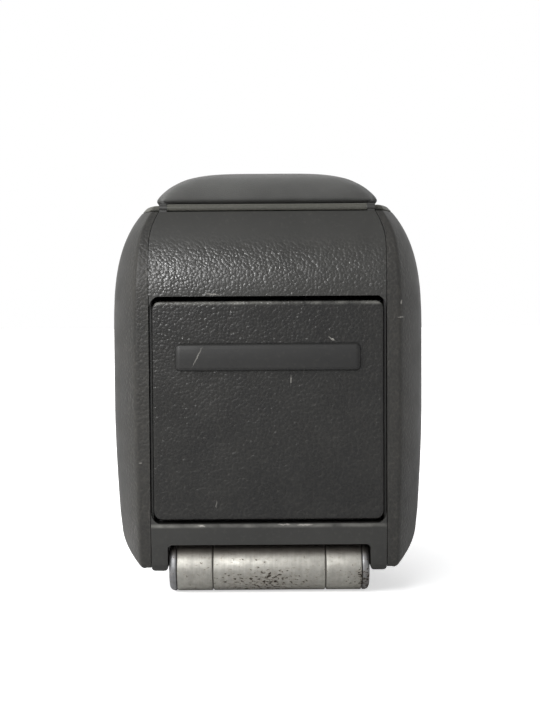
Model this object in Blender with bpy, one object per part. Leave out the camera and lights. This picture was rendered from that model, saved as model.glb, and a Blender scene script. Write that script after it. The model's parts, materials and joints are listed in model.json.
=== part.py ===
"""Hinged centre armrest of a car: two cheek shells, a rear hood with a drop-down cup flap, a storage
bin under a padded lid, and a hinge barrel on a floor bracket.

All sizes below are in millimetres. They are measured from the axis of the hinge barrel: X to the
right, Y towards the front of the armrest, Z up. The model's own origin is the middle of the
bracket's foot."""

import math

import bmesh
import bpy
from mathutils import Matrix, Vector

MM = 0.001

# Height of the barrel axis above the foot of the bracket
AXIS_HEIGHT = 13.0

# Clearances
GAP = 0.3
RUNNING_GAP = 0.6

# How far a joined shape stops short of its neighbour's face, so that no two faces coincide
STEP_BACK = 0.05

# How far joined shapes run into each other, and how far a cutting shape runs past the face
OVERLAP = 1.0
OVERRUN = 5.0

# Shell of the armrest
REAR_Y = -14.0
BODY_LENGTH = 330.0
HALF_WIDTH = 93.5
RIM_Z = 210.2
SKIN = 2.5
EDGE_ROUND = 6.0

# Seam between a cheek and the middle parts
CHEEK_WIDTH = 24.2
SEAM_HALF = HALF_WIDTH - CHEEK_WIDTH
SEAM_DRAW_IN = 5.5
SEAM_DRAW_START_Z = 190.0

# Plan shape of a cheek: flat rear facet, blended flank, rounded front corner
REAR_FACET_SHARE = 0.322
REAR_BLEND_LENGTH = 39.0
FRONT_BLEND_LENGTH = 45.0
END_FADE_LENGTH = 60.0

# Dome of the cheeks and the lower taper
DOME_START_Z = 134.0
DOME_HEIGHT = 99.0
DOME_POWER = 3.0
TAPER_START_Z = 91.0
TAPER_HEIGHT = 75.0
TAPER_DEPTH = 3.6

# Roll of the hood at the rear and of the front end
HOOD_Z = 160.4
HOOD_ROLL_RADIUS = 100.0
RIM_ROLL = HOOD_ROLL_RADIUS - math.sqrt(HOOD_ROLL_RADIUS**2 - (RIM_Z - HOOD_Z) ** 2)

# Underside, a shallow rising curve
UNDER_START_Z = -1.0
UNDER_FRONT_Z = 127.04
UNDER_BEND_LENGTH = 2500.0
UNDER_SLOPE = (UNDER_FRONT_Z - UNDER_START_Z) / BODY_LENGTH + BODY_LENGTH / UNDER_BEND_LENGTH
COVER_START_Y = 16.0

# Hinge barrel, between the two ears
BARREL_RADIUS = 14.3
EAR_SPACE = 9.8
EAR_INNER_HALF = SEAM_HALF - EAR_SPACE
BARREL_HALF_LENGTH = EAR_INNER_HALF - RUNNING_GAP
END_CAP_LENGTH = 4.2
OUTER_SLEEVE_LENGTH = 21.1
CENTRE_SLEEVE_HALF = BARREL_HALF_LENGTH - END_CAP_LENGTH - OUTER_SLEEVE_LENGTH - 2 * GAP
SHAFT_RADIUS = 5.0
BUSH_WALL = 2.4
SLEEVE_CHAMFER = 0.8
END_CAP_ROUND = 2.5

# Floor bracket
PLATE_THICKNESS = 4.0
PLATE_SIDE = 15.0
PLATE_HALF_WIDTH = CENTRE_SLEEVE_HALF + PLATE_SIDE
PLATE_FRONT_Y = 75.0
PLATE_REAR_Y = 10.0
SADDLE_INSET = 3.0
SADDLE_HALF_WIDTH = CENTRE_SLEEVE_HALF - SADDLE_INSET
SADDLE_TOP_Z = 8.0
SADDLE_TOP_Y = 12.0
SADDLE_KNEE_Y = 17.0
SADDLE_KNEE_Z = 4.0
SADDLE_FRONT_Y = 26.0
BOLT_RADIUS = 3.0
BOLT_HEAD_RADIUS = 5.5
BOLT_HEAD_HEIGHT = 4.0
BOLT_MARGIN = 12.0
BOLT_REAR_MARGIN = 26.0
BOLT_X = PLATE_HALF_WIDTH - BOLT_MARGIN
BOLT_ROWS_Y = (PLATE_REAR_Y + BOLT_REAR_MARGIN, PLATE_FRONT_Y - BOLT_MARGIN)

# Rear frame
FRAME_SKIN = 2.4
HOOD_LIP_DEPTH = 11.0
RAIL_WIDTH = 1.3
RAIL_RECESS = 3.0
RAIL_BACK_Y = -0.5
STRIP_TOP_Z = 27.5
STRIP_BOTTOM_Z = 15.1
STRIP_TOP_DEPTH = 10.5
STRIP_BOTTOM_DEPTH = 8.0
EAR_BOTTOM_Z = -0.9
EAR_DEPTH = 25.0
EAR_ROUND = 5.0

# Drop-down flap
FLAP_SIDE_GAP = 2.0
FLAP_HALF_WIDTH = SEAM_HALF - FLAP_SIDE_GAP
FLAP_TOP_Z = 157.5
FLAP_BOTTOM_Z = 30.0
FLAP_THICKNESS = 2.8
FLAP_CORNER_ROUND = 5.0
FLAP_EDGE_ROUND = 1.0
FLAP_FOOT_ROUND = 3.0
FLAP_PIVOT_Y = -7.5
FLAP_PIVOT_Z = 36.0
FLAP_KNUCKLE_RADIUS = 3.2
FLAP_KNUCKLE_LENGTH = 9.0
FLAP_PIN_RADIUS = 1.5
FLAP_KNUCKLE_INSET = 0.5
FLAP_WEB_HALF = 2.0

# Raised bar across the flap that it is pulled down by
PULL_MARGIN = 13.3
PULL_HALF_WIDTH = FLAP_HALF_WIDTH - PULL_MARGIN
PULL_BOTTOM_Z = 117.0
PULL_TOP_Z = 133.0
PULL_HEIGHT = 2.4
PULL_END_ROUND = 3.0
PULL_TIP_SHARE = 0.6
# Face of the bar from its lower edge up: share of its width, and share of its height there
PULL_PROFILE = ((0.0, 0.5), (0.05, 0.9), (0.12, 1.0), (0.45, 1.0), (0.65, 0.93))
PULL_PROFILE += ((0.8, 0.82), (0.93, 0.66), (1.0, 0.35))

# Cup tray on the inside of the flap
TRAY_INSET = 3.3
TRAY_HALF_WIDTH = FLAP_HALF_WIDTH - TRAY_INSET
TRAY_BOTTOM_Z = 43.0
TRAY_TOP_Z = 146.0
TRAY_FACE_Y = 29.0
TRAY_WALL = 2.0
CUP_MARGIN = 3.0
CUP_RADIUS = TRAY_HALF_WIDTH / 2 - CUP_MARGIN
CUP_WALL = 1.8
CUP_DEPTH = 33.0
CUP_PARTITION = 4.0
CUP_SPACING = 2 * CUP_RADIUS + CUP_PARTITION
POST_RADIUS = 4.0
POST_INSET_X = 7.0
POST_X = TRAY_HALF_WIDTH - POST_INSET_X
POST_INSET_Z = 8.0
SCREW_RADIUS = 1.5
SCREW_HEAD_RADIUS = 2.8
SCREW_HEAD_HEIGHT = 1.8
SCREW_HEAD_DEPTH = 5.0
BOSS_RADIUS = 3.5
BORE_FLOOR = 0.5
BOSS_TIP_Y = -5.0

# Cup housing
HOUSING_WALL = 2.0
HOUSING_MOUTH_Y = -0.2
HOUSING_BACK_Y = 47.0
HOUSING_TOP_Z = 158.0
HOUSING_FLOOR_FRONT_Z = 27.8
HOUSING_FLOOR_BACK_Z = 48.0

# Storage bin
BIN_SIDE_GAP = 5.3
BIN_HALF_WIDTH = SEAM_HALF - BIN_SIDE_GAP
BIN_REAR_Y = 50.0
BIN_FRONT_SPACE = 9.718
BIN_FRONT_Y = REAR_Y + BODY_LENGTH - RIM_ROLL - BIN_FRONT_SPACE
BIN_FLOOR_Z = 128.0
BIN_WALL = 2.2
DECK_TOP_Z = 205.6
DECK_THICKNESS = 2.2
MAT_THICKNESS = 1.8
BIN_BOSS_RADIUS = 4.0
BIN_BOSS_HEIGHT = 6.1

# Steel hinge frame
ARM_STEP = 9.0
ARM_X = CENTRE_SLEEVE_HALF + ARM_STEP
ARM_THICKNESS = 4.0
ARM_FOOT = ((1.5, 10.0), (9.0, 9.0), (13.5, 19.5))
ARM_SHOULDER = (3.0, 23.0)
ARM_DEPTH = 10.0
ARM_CLEARANCE = 6.0
FRAME_PLATE_THICKNESS = 2.6
FRAME_PLATE_HALF_WIDTH = ARM_X + ARM_THICKNESS / 2
FRAME_PLATE_FRONT_Y = 180.0
FRAME_SCREW_INSET = 12.0
FRAME_SCREW_X = ARM_X - FRAME_SCREW_INSET
FRAME_SCREW_MARGIN = 20.0
FRAME_SCREW_REAR_MARGIN = 22.0
FRAME_SCREW_ROWS_Y = (BIN_REAR_Y + FRAME_SCREW_REAR_MARGIN, FRAME_PLATE_FRONT_Y - FRAME_SCREW_MARGIN)
FRAME_SCREW_RADIUS = 1.6

# Lid
LID_PIVOT_STEP = 1.918
LID_PIVOT_Y = REAR_Y + RIM_ROLL + LID_PIVOT_STEP
LID_PIVOT_ABOVE_RIM = 2.4
LID_ROLL_RADIUS = 2.0
LID_ROLL_INSET = 5.1
LID_ROLL_HALF_LENGTH = SEAM_HALF - SEAM_DRAW_IN - LID_ROLL_INSET
LID_WEB_HALF = 1.3
LID_PIN_RADIUS = 1.0
LID_PIN_REACH = 7.5
LID_FRAME_THICKNESS = 3.4
LID_FRAME_ABOVE_RIM = 0.4
LID_FRAME_REAR_GAP = 2.4
PANEL_DEPTH = 4.1
PANEL_CLEARANCE = 1.5
PAD_CROWN_Z = 235.5
PAD_SIDE_STEP = 23.5
PAD_BASE_HALF_WIDTH = HALF_WIDTH - PAD_SIDE_STEP
PAD_SIDE_POWER = 0.2
PAD_END_LENGTH = 37.0
PAD_END_POWER = 0.372
PAD_REAR_STEP = 1.8
PAD_REAR_Y = LID_PIVOT_Y + PAD_REAR_STEP
PAD_FRONT_STEP = 2.0
PAD_CORNER_DRAW = 11.9

# Latch
LATCH_SPACE = 5.518
LATCH_PIVOT_Y = REAR_Y + BODY_LENGTH - RIM_ROLL - LATCH_SPACE
LATCH_PIVOT_Z = 207.9
LATCH_BOSS_RADIUS = 2.0
LATCH_HALF_WIDTH = 21.7
LATCH_PIN_RADIUS = 1.0
LATCH_LUG_WIDTH = 3.0
LATCH_PADDLE_BOTTOM_Z = 197.3
LATCH_PADDLE_TOP_Z = 207.5
LATCH_NOSE_HALF_WIDTH = 6.0
LATCH_NOSE_BOTTOM_Z = 199.0
LATCH_NOSE_THICKNESS = 1.8
LATCH_NOSE_STEP = 0.4
CATCH_HALF_WIDTH = 9.0
CATCH_HEIGHT = 3.0

# A bend is cut off by this share of the skin, so that its inner side doesn't fold
BEND_SHARE = 0.75

ROLL_STEPS = 7
BARREL_SEGMENTS = 32
SMALL_SEGMENTS = 14

AXIS_Y = -(PLATE_REAR_Y + PLATE_FRONT_Y) / 2
FRONT_Y = REAR_Y + BODY_LENGTH
LID_PIVOT_Z = RIM_Z + LID_PIVOT_ABOVE_RIM
LID_FRAME_BOTTOM_Z = RIM_Z + LID_FRAME_ABOVE_RIM
LID_FRAME_TOP_Z = LID_FRAME_BOTTOM_Z + LID_FRAME_THICKNESS
PAD_BASE_Z = LID_FRAME_TOP_Z + GAP
MIDDLE_HALF = SEAM_HALF - GAP
SLEEVE_BORE = SHAFT_RADIUS + GAP + BUSH_WALL + GAP
FOOT_Z = -AXIS_HEIGHT
CATCH_DEPTH = LATCH_PIVOT_Y - BIN_FRONT_Y - GAP


def linear(code):
    """Linear colour of a six digit sRGB code."""
    channels = [int(code[i : i + 2], 16) / 255 for i in (0, 2, 4)]
    return [c / 12.92 if c <= 0.04045 else ((c + 0.055) / 1.055) ** 2.4 for c in channels]


def paint(name, code, roughness, metallic=0.0):
    """A plain surface finish."""
    made = bpy.data.materials.new(name)
    made.use_nodes = True
    shader = made.node_tree.nodes["Principled BSDF"]
    shader.inputs["Base Color"].default_value = (*linear(code), 1.0)
    shader.inputs["Roughness"].default_value = roughness
    shader.inputs["Metallic"].default_value = metallic
    return made


def axis_empty(name, x, y, z, parent=None):
    """An empty on a joint's axis, given by its place from the barrel axis."""
    empty = bpy.data.objects.new(name, None)
    bpy.context.collection.objects.link(empty)
    point = Vector((x, y, z)) * MM
    if parent is None:
        empty.location = Vector((0, AXIS_Y, AXIS_HEIGHT)) * MM
    else:
        empty.parent = parent
        empty.location = point - point_of(parent)
    empty["px"] = point.x
    empty["py"] = point.y
    empty["pz"] = point.z
    return empty


def point_of(empty):
    """Place of an axis empty, measured from the barrel axis."""
    return Vector((empty["px"], empty["py"], empty["pz"]))


def place(name, bm, finish, axis):
    """Turn a bmesh in millimetres into an object under its axis."""
    bmesh.ops.connect_verts_nonplanar(bm, angle_limit=math.radians(0.01), faces=bm.faces)
    bmesh.ops.recalc_face_normals(bm, faces=bm.faces)
    bmesh.ops.transform(bm, matrix=Matrix.Scale(MM, 4), verts=bm.verts)
    bmesh.ops.transform(bm, matrix=Matrix.Translation(-point_of(axis)), verts=bm.verts)
    mesh = bpy.data.meshes.new(name)
    bm.to_mesh(mesh)
    bm.free()
    made = bpy.data.objects.new(name, mesh)
    bpy.context.collection.objects.link(made)
    made.parent = axis
    if finish is not None:
        mesh.materials.append(finish)
        mesh.shade_smooth()
        mesh.set_sharp_from_angle(angle=math.radians(30))
    return made


def combine(target, bm, operation):
    """Join a bmesh to an object, or cut it away, as a live Boolean with a hidden tool."""
    tool = place(target.name + "_tool", bm, None, target.parent)
    tool.hide_render = True
    tool.display_type = "WIRE"
    modifier = target.modifiers.new(operation.title(), "BOOLEAN")
    modifier.operation = operation
    modifier.solver = "EXACT"
    modifier.object = tool
    return target


def cut(target, bm):
    return combine(target, bm, "DIFFERENCE")


def join(target, bm):
    return combine(target, bm, "UNION")


def add_box(bm, x, y, z):
    """A block between the pairs x, y and z."""
    size = Matrix.Diagonal((x[1] - x[0], y[1] - y[0], z[1] - z[0], 1))
    middle = Matrix.Translation(((x[0] + x[1]) / 2, (y[0] + y[1]) / 2, (z[0] + z[1]) / 2))
    bmesh.ops.create_cube(bm, size=1, matrix=middle @ size)


def box(*blocks):
    bm = bmesh.new()
    for x, y, z in blocks:
        add_box(bm, x, y, z)
    return bm


def add_prism(bm, outline, x):
    """An outline of (y, z) points drawn out along X."""
    corners = [bm.verts.new((x[0], y, z)) for y, z in outline]
    face = bm.faces.new(corners)
    drawn = bmesh.ops.extrude_face_region(bm, geom=[face])
    moved = [item for item in drawn["geom"] if isinstance(item, bmesh.types.BMVert)]
    bmesh.ops.translate(bm, vec=(x[1] - x[0], 0, 0), verts=moved)


def prism(outline, *spans):
    bm = bmesh.new()
    for x in spans:
        add_prism(bm, outline, x)
    return bm


def add_rod(bm, direction, centre, radius, length, segments=SMALL_SEGMENTS):
    """A round rod about a centre point, along X, Y or Z."""
    turn = {"X": Matrix.Rotation(math.pi / 2, 4, "Y"), "Y": Matrix.Rotation(math.pi / 2, 4, "X")}
    matrix = Matrix.Translation(centre) @ turn.get(direction, Matrix.Identity(4))
    bmesh.ops.create_cone(
        bm,
        cap_ends=True,
        segments=segments,
        radius1=radius,
        radius2=radius,
        depth=length,
        matrix=matrix,
    )


def rods(direction, centres, radius, length, segments=SMALL_SEGMENTS):
    bm = bmesh.new()
    for centre in centres:
        add_rod(bm, direction, centre, radius, length, segments)
    return bm


def rod_between(direction, starts, radius, reach, segments=SMALL_SEGMENTS):
    """Rods that start at the given points and run a reach along +X, +Y or +Z."""
    step = {"X": Vector((1, 0, 0)), "Y": Vector((0, 1, 0)), "Z": Vector((0, 0, 1))}[direction]
    centres = [Vector(start) + step * reach / 2 for start in starts]
    return rods(direction, centres, radius, abs(reach), segments)


def turned(profile, segments=BARREL_SEGMENTS):
    """A closed (x, radius) profile turned about the X axis through the barrel."""
    bm = bmesh.new()
    corners = [bm.verts.new((x, 0, radius)) for x, radius in profile]
    edges = [bm.edges.new((corners[i - 1], corners[i])) for i in range(len(corners))]
    bmesh.ops.spin(
        bm,
        geom=corners + edges,
        cent=(0, 0, 0),
        axis=(1, 0, 0),
        angle=2 * math.pi,
        steps=segments,
        use_duplicate=False,
    )
    bmesh.ops.remove_doubles(bm, verts=bm.verts, dist=0.001)
    return bm


def add_loft(bm, loops):
    """A closed body through level loops, given bottom to top."""
    rings = [[bm.verts.new(point) for point in loop] for loop in loops]
    for low, high in zip(rings, rings[1:]):
        for i in range(len(low)):
            bm.faces.new((low[i - 1], low[i], high[i], high[i - 1]))
    bm.faces.new(reversed(rings[0]))
    bm.faces.new(rings[-1])


def loft(loops):
    bm = bmesh.new()
    add_loft(bm, loops)
    return bm


def offset_path(path, distance):
    """The (y, z) path moved to its left by a distance, with mitred corners."""
    moved = []
    for i, (y, z) in enumerate(path):
        before = path[max(i - 1, 0)]
        after = path[min(i + 1, len(path) - 1)]
        normals = []
        for a, b in ((before, (y, z)), ((y, z), after)):
            length = math.hypot(b[0] - a[0], b[1] - a[1])
            if length > 1e-9:
                normals.append(Vector((-(b[1] - a[1]) / length, (b[0] - a[0]) / length)))
        mean = sum(normals, Vector((0, 0))).normalized()
        reach = distance / mean.dot(normals[0])
        moved.append((y + mean.x * reach, z + mean.y * reach))
    return moved


def sheet(path, half_widths, thickness):
    """A bent sheet across the armrest: its outer (y, z) path, and its skin to the path's left."""
    bm = bmesh.new()
    rings = []
    for outer, inner, half in zip(path, offset_path(path, thickness), half_widths):
        section = ((-half, *outer), (half, *outer), (half, *inner), (-half, *inner))
        rings.append([bm.verts.new(point) for point in section])
    for low, high in zip(rings, rings[1:]):
        for i in range(4):
            bm.faces.new((low[i - 1], low[i], high[i], high[i - 1]))
    bm.faces.new(rings[0])
    bm.faces.new(reversed(rings[-1]))
    return bm


def seam_x(z):
    """Half width of the seam, which draws in near the rim."""
    rise = max(0.0, z - SEAM_DRAW_START_Z) / (RIM_Z - SEAM_DRAW_START_Z)
    return SEAM_HALF - SEAM_DRAW_IN * rise**2


def half_width(z):
    """Half width of the cheeks at a height: a low taper, a straight part and a dome."""
    dome = max(0.0, z - DOME_START_Z) / DOME_HEIGHT
    taper = max(0.0, TAPER_START_Z - z) / TAPER_HEIGHT
    return HALF_WIDTH * (1 - dome**DOME_POWER) ** (1 / DOME_POWER) - TAPER_DEPTH * taper**1.5


def end_roll(z):
    """How far the ends roll inwards at a height."""
    rise = max(0.0, z - HOOD_Z)
    return HOOD_ROLL_RADIUS - math.sqrt(HOOD_ROLL_RADIUS**2 - rise**2)


def roll_levels():
    """Heights of the sections between the start of the rolls and the rim."""
    return [HOOD_Z + (RIM_Z - HOOD_Z) * i / ROLL_STEPS for i in range(1, ROLL_STEPS + 1)]


def under_z(y):
    """Height of the underside."""
    run = y - REAR_Y
    return UNDER_START_Z + UNDER_SLOPE * run - run**2 / UNDER_BEND_LENGTH


def plan_columns():
    """Places round one cheek from the rear seam to the front seam, as (share of the width, y)."""
    columns = [(0.0, REAR_Y), (REAR_FACET_SHARE / 2, REAR_Y), (REAR_FACET_SHARE, REAR_Y)]
    for i in range(1, 6):
        t = i / 5
        share = REAR_FACET_SHARE + (1 - REAR_FACET_SHARE) * (1 - (1 - t) ** 2)
        columns.append((share, REAR_Y + REAR_BLEND_LENGTH * t))
    start = REAR_Y + REAR_BLEND_LENGTH
    end = FRONT_Y - FRONT_BLEND_LENGTH
    for i in range(1, 6):
        columns.append((1.0, start + (end - start) * i / 5))
    for i in range(1, 7):
        angle = math.pi / 2 * i / 6
        columns.append((math.cos(angle), end + FRONT_BLEND_LENGTH * math.sin(angle)))
    return columns


def plan_point(column, half, seam, rear, front):
    """A plan column at given half widths and end places."""
    share, y = column
    rear_fade = max(0.0, 1 - (y - REAR_Y) / END_FADE_LENGTH)
    front_fade = max(0.0, 1 - (FRONT_Y - y) / END_FADE_LENGTH)
    moved = y + (rear - REAR_Y) * rear_fade + (front - FRONT_Y) * front_fade
    return seam + (half - seam) * share, moved


def shell_point(column, z):
    return plan_point(column, half_width(z), seam_x(z), REAR_Y + end_roll(z), FRONT_Y - end_roll(z))


def inset_loop(points, distance):
    """A closed outline, counterclockwise seen from above, moved inwards."""
    moved = []
    for i in range(len(points)):
        a, b, c = (Vector(points[k % len(points)]) for k in (i - 1, i, i + 1))
        first = (b - a).normalized()
        second = (c - b).normalized()
        normal = Vector((-(first.y + second.y), first.x + second.x)).normalized()
        reach = distance / max(0.5, normal.dot(Vector((-first.y, first.x))))
        moved.append(b + normal * reach)
    return moved


def full_loop(z, half, seam, rear, front, inset=0.0):
    """A whole outline of the armrest at a height, as 3-D points."""
    side = [plan_point(column, half, seam, rear, front) for column in plan_columns()]
    outline = side + [(-x, y) for x, y in reversed(side)]
    if inset:
        outline = inset_loop(outline, inset)
    return [(x, y, z) for x, y in outline]


def shell_loop(z, at_z, inset=0.0):
    """The shell's outline at one height, placed at another."""
    roll = end_roll(at_z)
    return full_loop(z, half_width(at_z), seam_x(at_z), REAR_Y + roll, FRONT_Y - roll, inset)


def cheek(name, side, finish, axis):
    """One cheek: flank, dome, rounded lower edge and the floor up to the seam."""
    columns = plan_columns()
    low = [plan_point(c, half_width(under_z(c[1])), SEAM_HALF, REAR_Y, FRONT_Y) for c in columns]
    lengths = [0.0]
    for a, b in zip(low, low[1:]):
        lengths.append(lengths[-1] + math.dist(a, b))
    rows = []
    rounded = []
    for i, (x, y) in enumerate(low):
        before = Vector(low[max(i - 1, 0)])
        after = Vector(low[min(i + 1, len(low) - 1)])
        along = (after - before).normalized()
        normal = Vector((along.y, -along.x))
        if i == 0:
            normal = Vector((0, -1))
        if i == len(low) - 1:
            normal = Vector((0, 1))
        steps = []
        for k in (3, 2, 1, 0):
            angle = math.pi / 2 * k / 3
            inward = EDGE_ROUND * (1 - math.cos(angle))
            here = Vector((x, y)) - normal * inward
            steps.append((here.x, here.y, under_z(here.y) + EDGE_ROUND * (1 - math.sin(angle))))
        rounded.append(steps)
    first = rounded[0][0][1]
    last = rounded[-1][0][1]
    floor = []
    for length in lengths:
        y = first + (last - first) * length / lengths[-1]
        floor.append((SEAM_HALF, y, under_z(y)))
    rows.append(floor)
    for k in range(4):
        rows.append([steps[k] for steps in rounded])
    for i in range(1, 6):
        row = []
        for column, steps in zip(columns, rounded):
            z = steps[3][2] + (HOOD_Z - steps[3][2]) * i / 5
            row.append((*shell_point(column, z), z))
        rows.append(row)
    for z in roll_levels():
        rows.append([(*shell_point(column, z), z) for column in columns])
    bm = bmesh.new()
    grid = [[bm.verts.new((side * x, y, z)) for x, y, z in row] for row in rows]
    for lower, upper in zip(grid, grid[1:]):
        for i in range(len(lower) - 1):
            corners = (lower[i], lower[i + 1], upper[i + 1], upper[i])
            bm.faces.new(corners if side > 0 else corners[::-1])
    bmesh.ops.remove_doubles(bm, verts=bm.verts, dist=0.01)
    thicken_cheek(bm, side)
    return place(name, bm, finish, axis)


def thicken_cheek(bm, side):
    """Give the open outer surface of a cheek its skin, with edges flush at the seam and the rim."""
    bm.normal_update()
    inner = {}
    for vertex in list(bm.verts):
        normal = vertex.normal.copy()
        on_seam = side * vertex.co.x < seam_x(vertex.co.z) + 0.01
        on_rim = vertex.co.z > RIM_Z - 0.01
        if on_seam:
            normal.x = 0
        if on_rim:
            normal.z = 0
        point = vertex.co - normal.normalized() * SKIN
        seam = seam_x(point.z)
        point.x = side * (seam if on_seam else max(seam, side * point.x))
        inner[vertex] = bm.verts.new(point)
    for face in list(bm.faces):
        for loop in face.loops:
            if loop.edge.is_boundary:
                a, b = loop.vert, loop.link_loop_next.vert
                bm.faces.new((b, a, inner[a], inner[b]))
        bm.faces.new([inner[vertex] for vertex in reversed(face.verts)])


def hood_path():
    """Outer path of the hood: inner end of the lip, rear edge, then up the roll to the rim."""
    corner = FRAME_SKIN * BEND_SHARE
    path = [(REAR_Y + HOOD_LIP_DEPTH, HOOD_Z), (REAR_Y + corner, HOOD_Z)]
    path.append((REAR_Y, HOOD_Z + corner))
    for z in roll_levels():
        path.append((REAR_Y + end_roll(z), z))
    return path


def rear_frame(finish, axis):
    """Hood, side rails, lower strip and ears, with the fixed knuckles of the lid."""
    # The path runs upwards with the inside of the part on its right, so the skin is negative
    path = hood_path()
    hood = sheet(path, [seam_x(z) - GAP for _, z in path], -FRAME_SKIN)
    made = place("rear_frame", hood, finish, axis)
    bottom_y = REAR_Y + STRIP_BOTTOM_DEPTH
    corner = FRAME_SKIN * BEND_SHARE
    strip = [(bottom_y, STRIP_BOTTOM_Z), (REAR_Y + corner, STRIP_BOTTOM_Z)]
    strip += [(REAR_Y, STRIP_BOTTOM_Z + corner)]
    strip += [(REAR_Y, STRIP_TOP_Z - corner), (REAR_Y + corner, STRIP_TOP_Z)]
    strip += [(REAR_Y + STRIP_TOP_DEPTH, STRIP_TOP_Z)]
    join(made, sheet(strip, [MIDDLE_HALF] * len(strip), -FRAME_SKIN))
    rail_x = (MIDDLE_HALF - RAIL_WIDTH, MIDDLE_HALF - STEP_BACK)
    rail_y = (REAR_Y + RAIL_RECESS, RAIL_BACK_Y)
    rail_z = (STRIP_TOP_Z - FRAME_SKIN / 2, HOOD_Z + FRAME_SKIN / 2)
    ear_y = REAR_Y + STEP_BACK
    ear_top = STRIP_TOP_Z - FRAME_SKIN * 0.7
    ear = [(ear_y, ear_top), (ear_y, EAR_BOTTOM_Z + EAR_ROUND)]
    for i in range(1, 5):
        angle = math.pi / 2 * i / 4
        y = ear_y + EAR_ROUND * (1 - math.cos(angle))
        ear.append((y, EAR_BOTTOM_Z + EAR_ROUND * (1 - math.sin(angle))))
    ear_end = REAR_Y + EAR_DEPTH
    ear += [(ear_end - EAR_ROUND, EAR_BOTTOM_Z), (ear_end, EAR_BOTTOM_Z + EAR_ROUND)]
    ear += [(ear_end, STRIP_BOTTOM_Z - OVERLAP), (bottom_y + OVERLAP, ear_top)]
    knuckle_z = RIM_Z - FRAME_SKIN
    for side in (-1, 1):
        join(made, box((sorted(side * x for x in rail_x), rail_y, rail_z)))
        join(made, prism(ear, sorted((side * EAR_INNER_HALF, side * (MIDDLE_HALF - 2 * STEP_BACK)))))
        inner = LID_ROLL_HALF_LENGTH + GAP
        span = sorted((side * inner, side * (seam_x(RIM_Z) - GAP - STEP_BACK)))
        length = span[1] - span[0]
        middle = ((span[0] + span[1]) / 2, LID_PIVOT_Y, LID_PIVOT_Z)
        join(made, rods("X", [middle], LID_ROLL_RADIUS, length))
        web_x = (span[0] + STEP_BACK, span[1] - STEP_BACK)
        web_y = (LID_PIVOT_Y - LID_WEB_HALF, LID_PIVOT_Y + LID_WEB_HALF)
        join(made, box((web_x, web_y, (knuckle_z, LID_PIVOT_Z))))
    pin_ends = [(-MIDDLE_HALF - OVERRUN, FLAP_PIVOT_Y, FLAP_PIVOT_Z)]
    reach = 2 * (MIDDLE_HALF + OVERRUN)
    cut(made, rod_between("X", pin_ends, FLAP_PIN_RADIUS + GAP, reach))
    pin_ends = [(-SEAM_HALF, LID_PIVOT_Y, LID_PIVOT_Z)]
    cut(made, rod_between("X", pin_ends, LID_PIN_RADIUS + GAP, 2 * SEAM_HALF))
    return made


def cover_path():
    """Outer path of the middle strip: along the underside, round the edge and up the front."""
    path = []
    end = FRONT_Y - EDGE_ROUND
    for i in range(11):
        y = COVER_START_Y + (end - COVER_START_Y) * i / 10
        path.append((y, under_z(y)))
    for k in (2, 1, 0):
        angle = math.pi / 2 * k / 3
        y = FRONT_Y - EDGE_ROUND * (1 - math.cos(angle))
        path.append((y, under_z(y) + EDGE_ROUND * (1 - math.sin(angle))))
    path.append((FRONT_Y, HOOD_Z))
    for z in roll_levels():
        path.append((FRONT_Y - end_roll(z), z))
    return path


def underside_cover(finish, axis):
    """The middle strip, with the notch that the latch paddle sits in."""
    path = cover_path()
    strip = sheet(path, [seam_x(z) - GAP for _, z in path], SKIN)
    made = place("underside_cover", strip, finish, axis)
    wide = LATCH_HALF_WIDTH + RUNNING_GAP
    notch_y = (FRONT_Y - HOOD_ROLL_RADIUS / 3, FRONT_Y + OVERRUN)
    notch_z = (LATCH_PADDLE_BOTTOM_Z - RUNNING_GAP, RIM_Z + OVERRUN)
    cut(made, box(((-wide, wide), notch_y, notch_z)))
    return made


def storage_bin(finish, axis):
    """A deck that locates the shells, with the open bin hanging from it."""
    deck_bottom = DECK_TOP_Z - DECK_THICKNESS
    inset = SKIN * 1.2 + 2 * GAP
    loops = [shell_loop(z, DECK_TOP_Z, inset) for z in (deck_bottom, DECK_TOP_Z)]
    made = place("storage_bin", loft(loops), finish, axis)
    half = BIN_HALF_WIDTH
    outer_z = (BIN_FLOOR_Z, DECK_TOP_Z - DECK_THICKNESS / 2)
    join(made, box(((-half, half), (BIN_REAR_Y, BIN_FRONT_Y), outer_z)))
    inner_x = (-half + BIN_WALL, half - BIN_WALL)
    inner_y = (BIN_REAR_Y + BIN_WALL, BIN_FRONT_Y - BIN_WALL)
    cut(made, box((inner_x, inner_y, (BIN_FLOOR_Z + BIN_WALL, DECK_TOP_Z + OVERRUN))))
    wide = LATCH_HALF_WIDTH + RUNNING_GAP + LATCH_LUG_WIDTH + RUNNING_GAP
    notch_y = (BIN_FRONT_Y + CATCH_DEPTH - RUNNING_GAP, FRONT_Y)
    cut(made, box(((-wide, wide), notch_y, (deck_bottom - OVERRUN, DECK_TOP_Z + OVERRUN))))
    spots = frame_screw_spots()
    foot = BIN_FLOOR_Z - BIN_BOSS_HEIGHT
    starts = [(x, y, foot) for x, y in spots]
    join(made, rod_between("Z", starts, BIN_BOSS_RADIUS, BIN_BOSS_HEIGHT + BIN_WALL / 2))
    starts = [(x, y, foot - OVERLAP) for x, y in spots]
    cut(made, rod_between("Z", starts, FRAME_SCREW_RADIUS + GAP, BIN_BOSS_HEIGHT))
    return made


def frame_screw_spots():
    return [(x, y) for x in (-FRAME_SCREW_X, FRAME_SCREW_X) for y in FRAME_SCREW_ROWS_Y]


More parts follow.
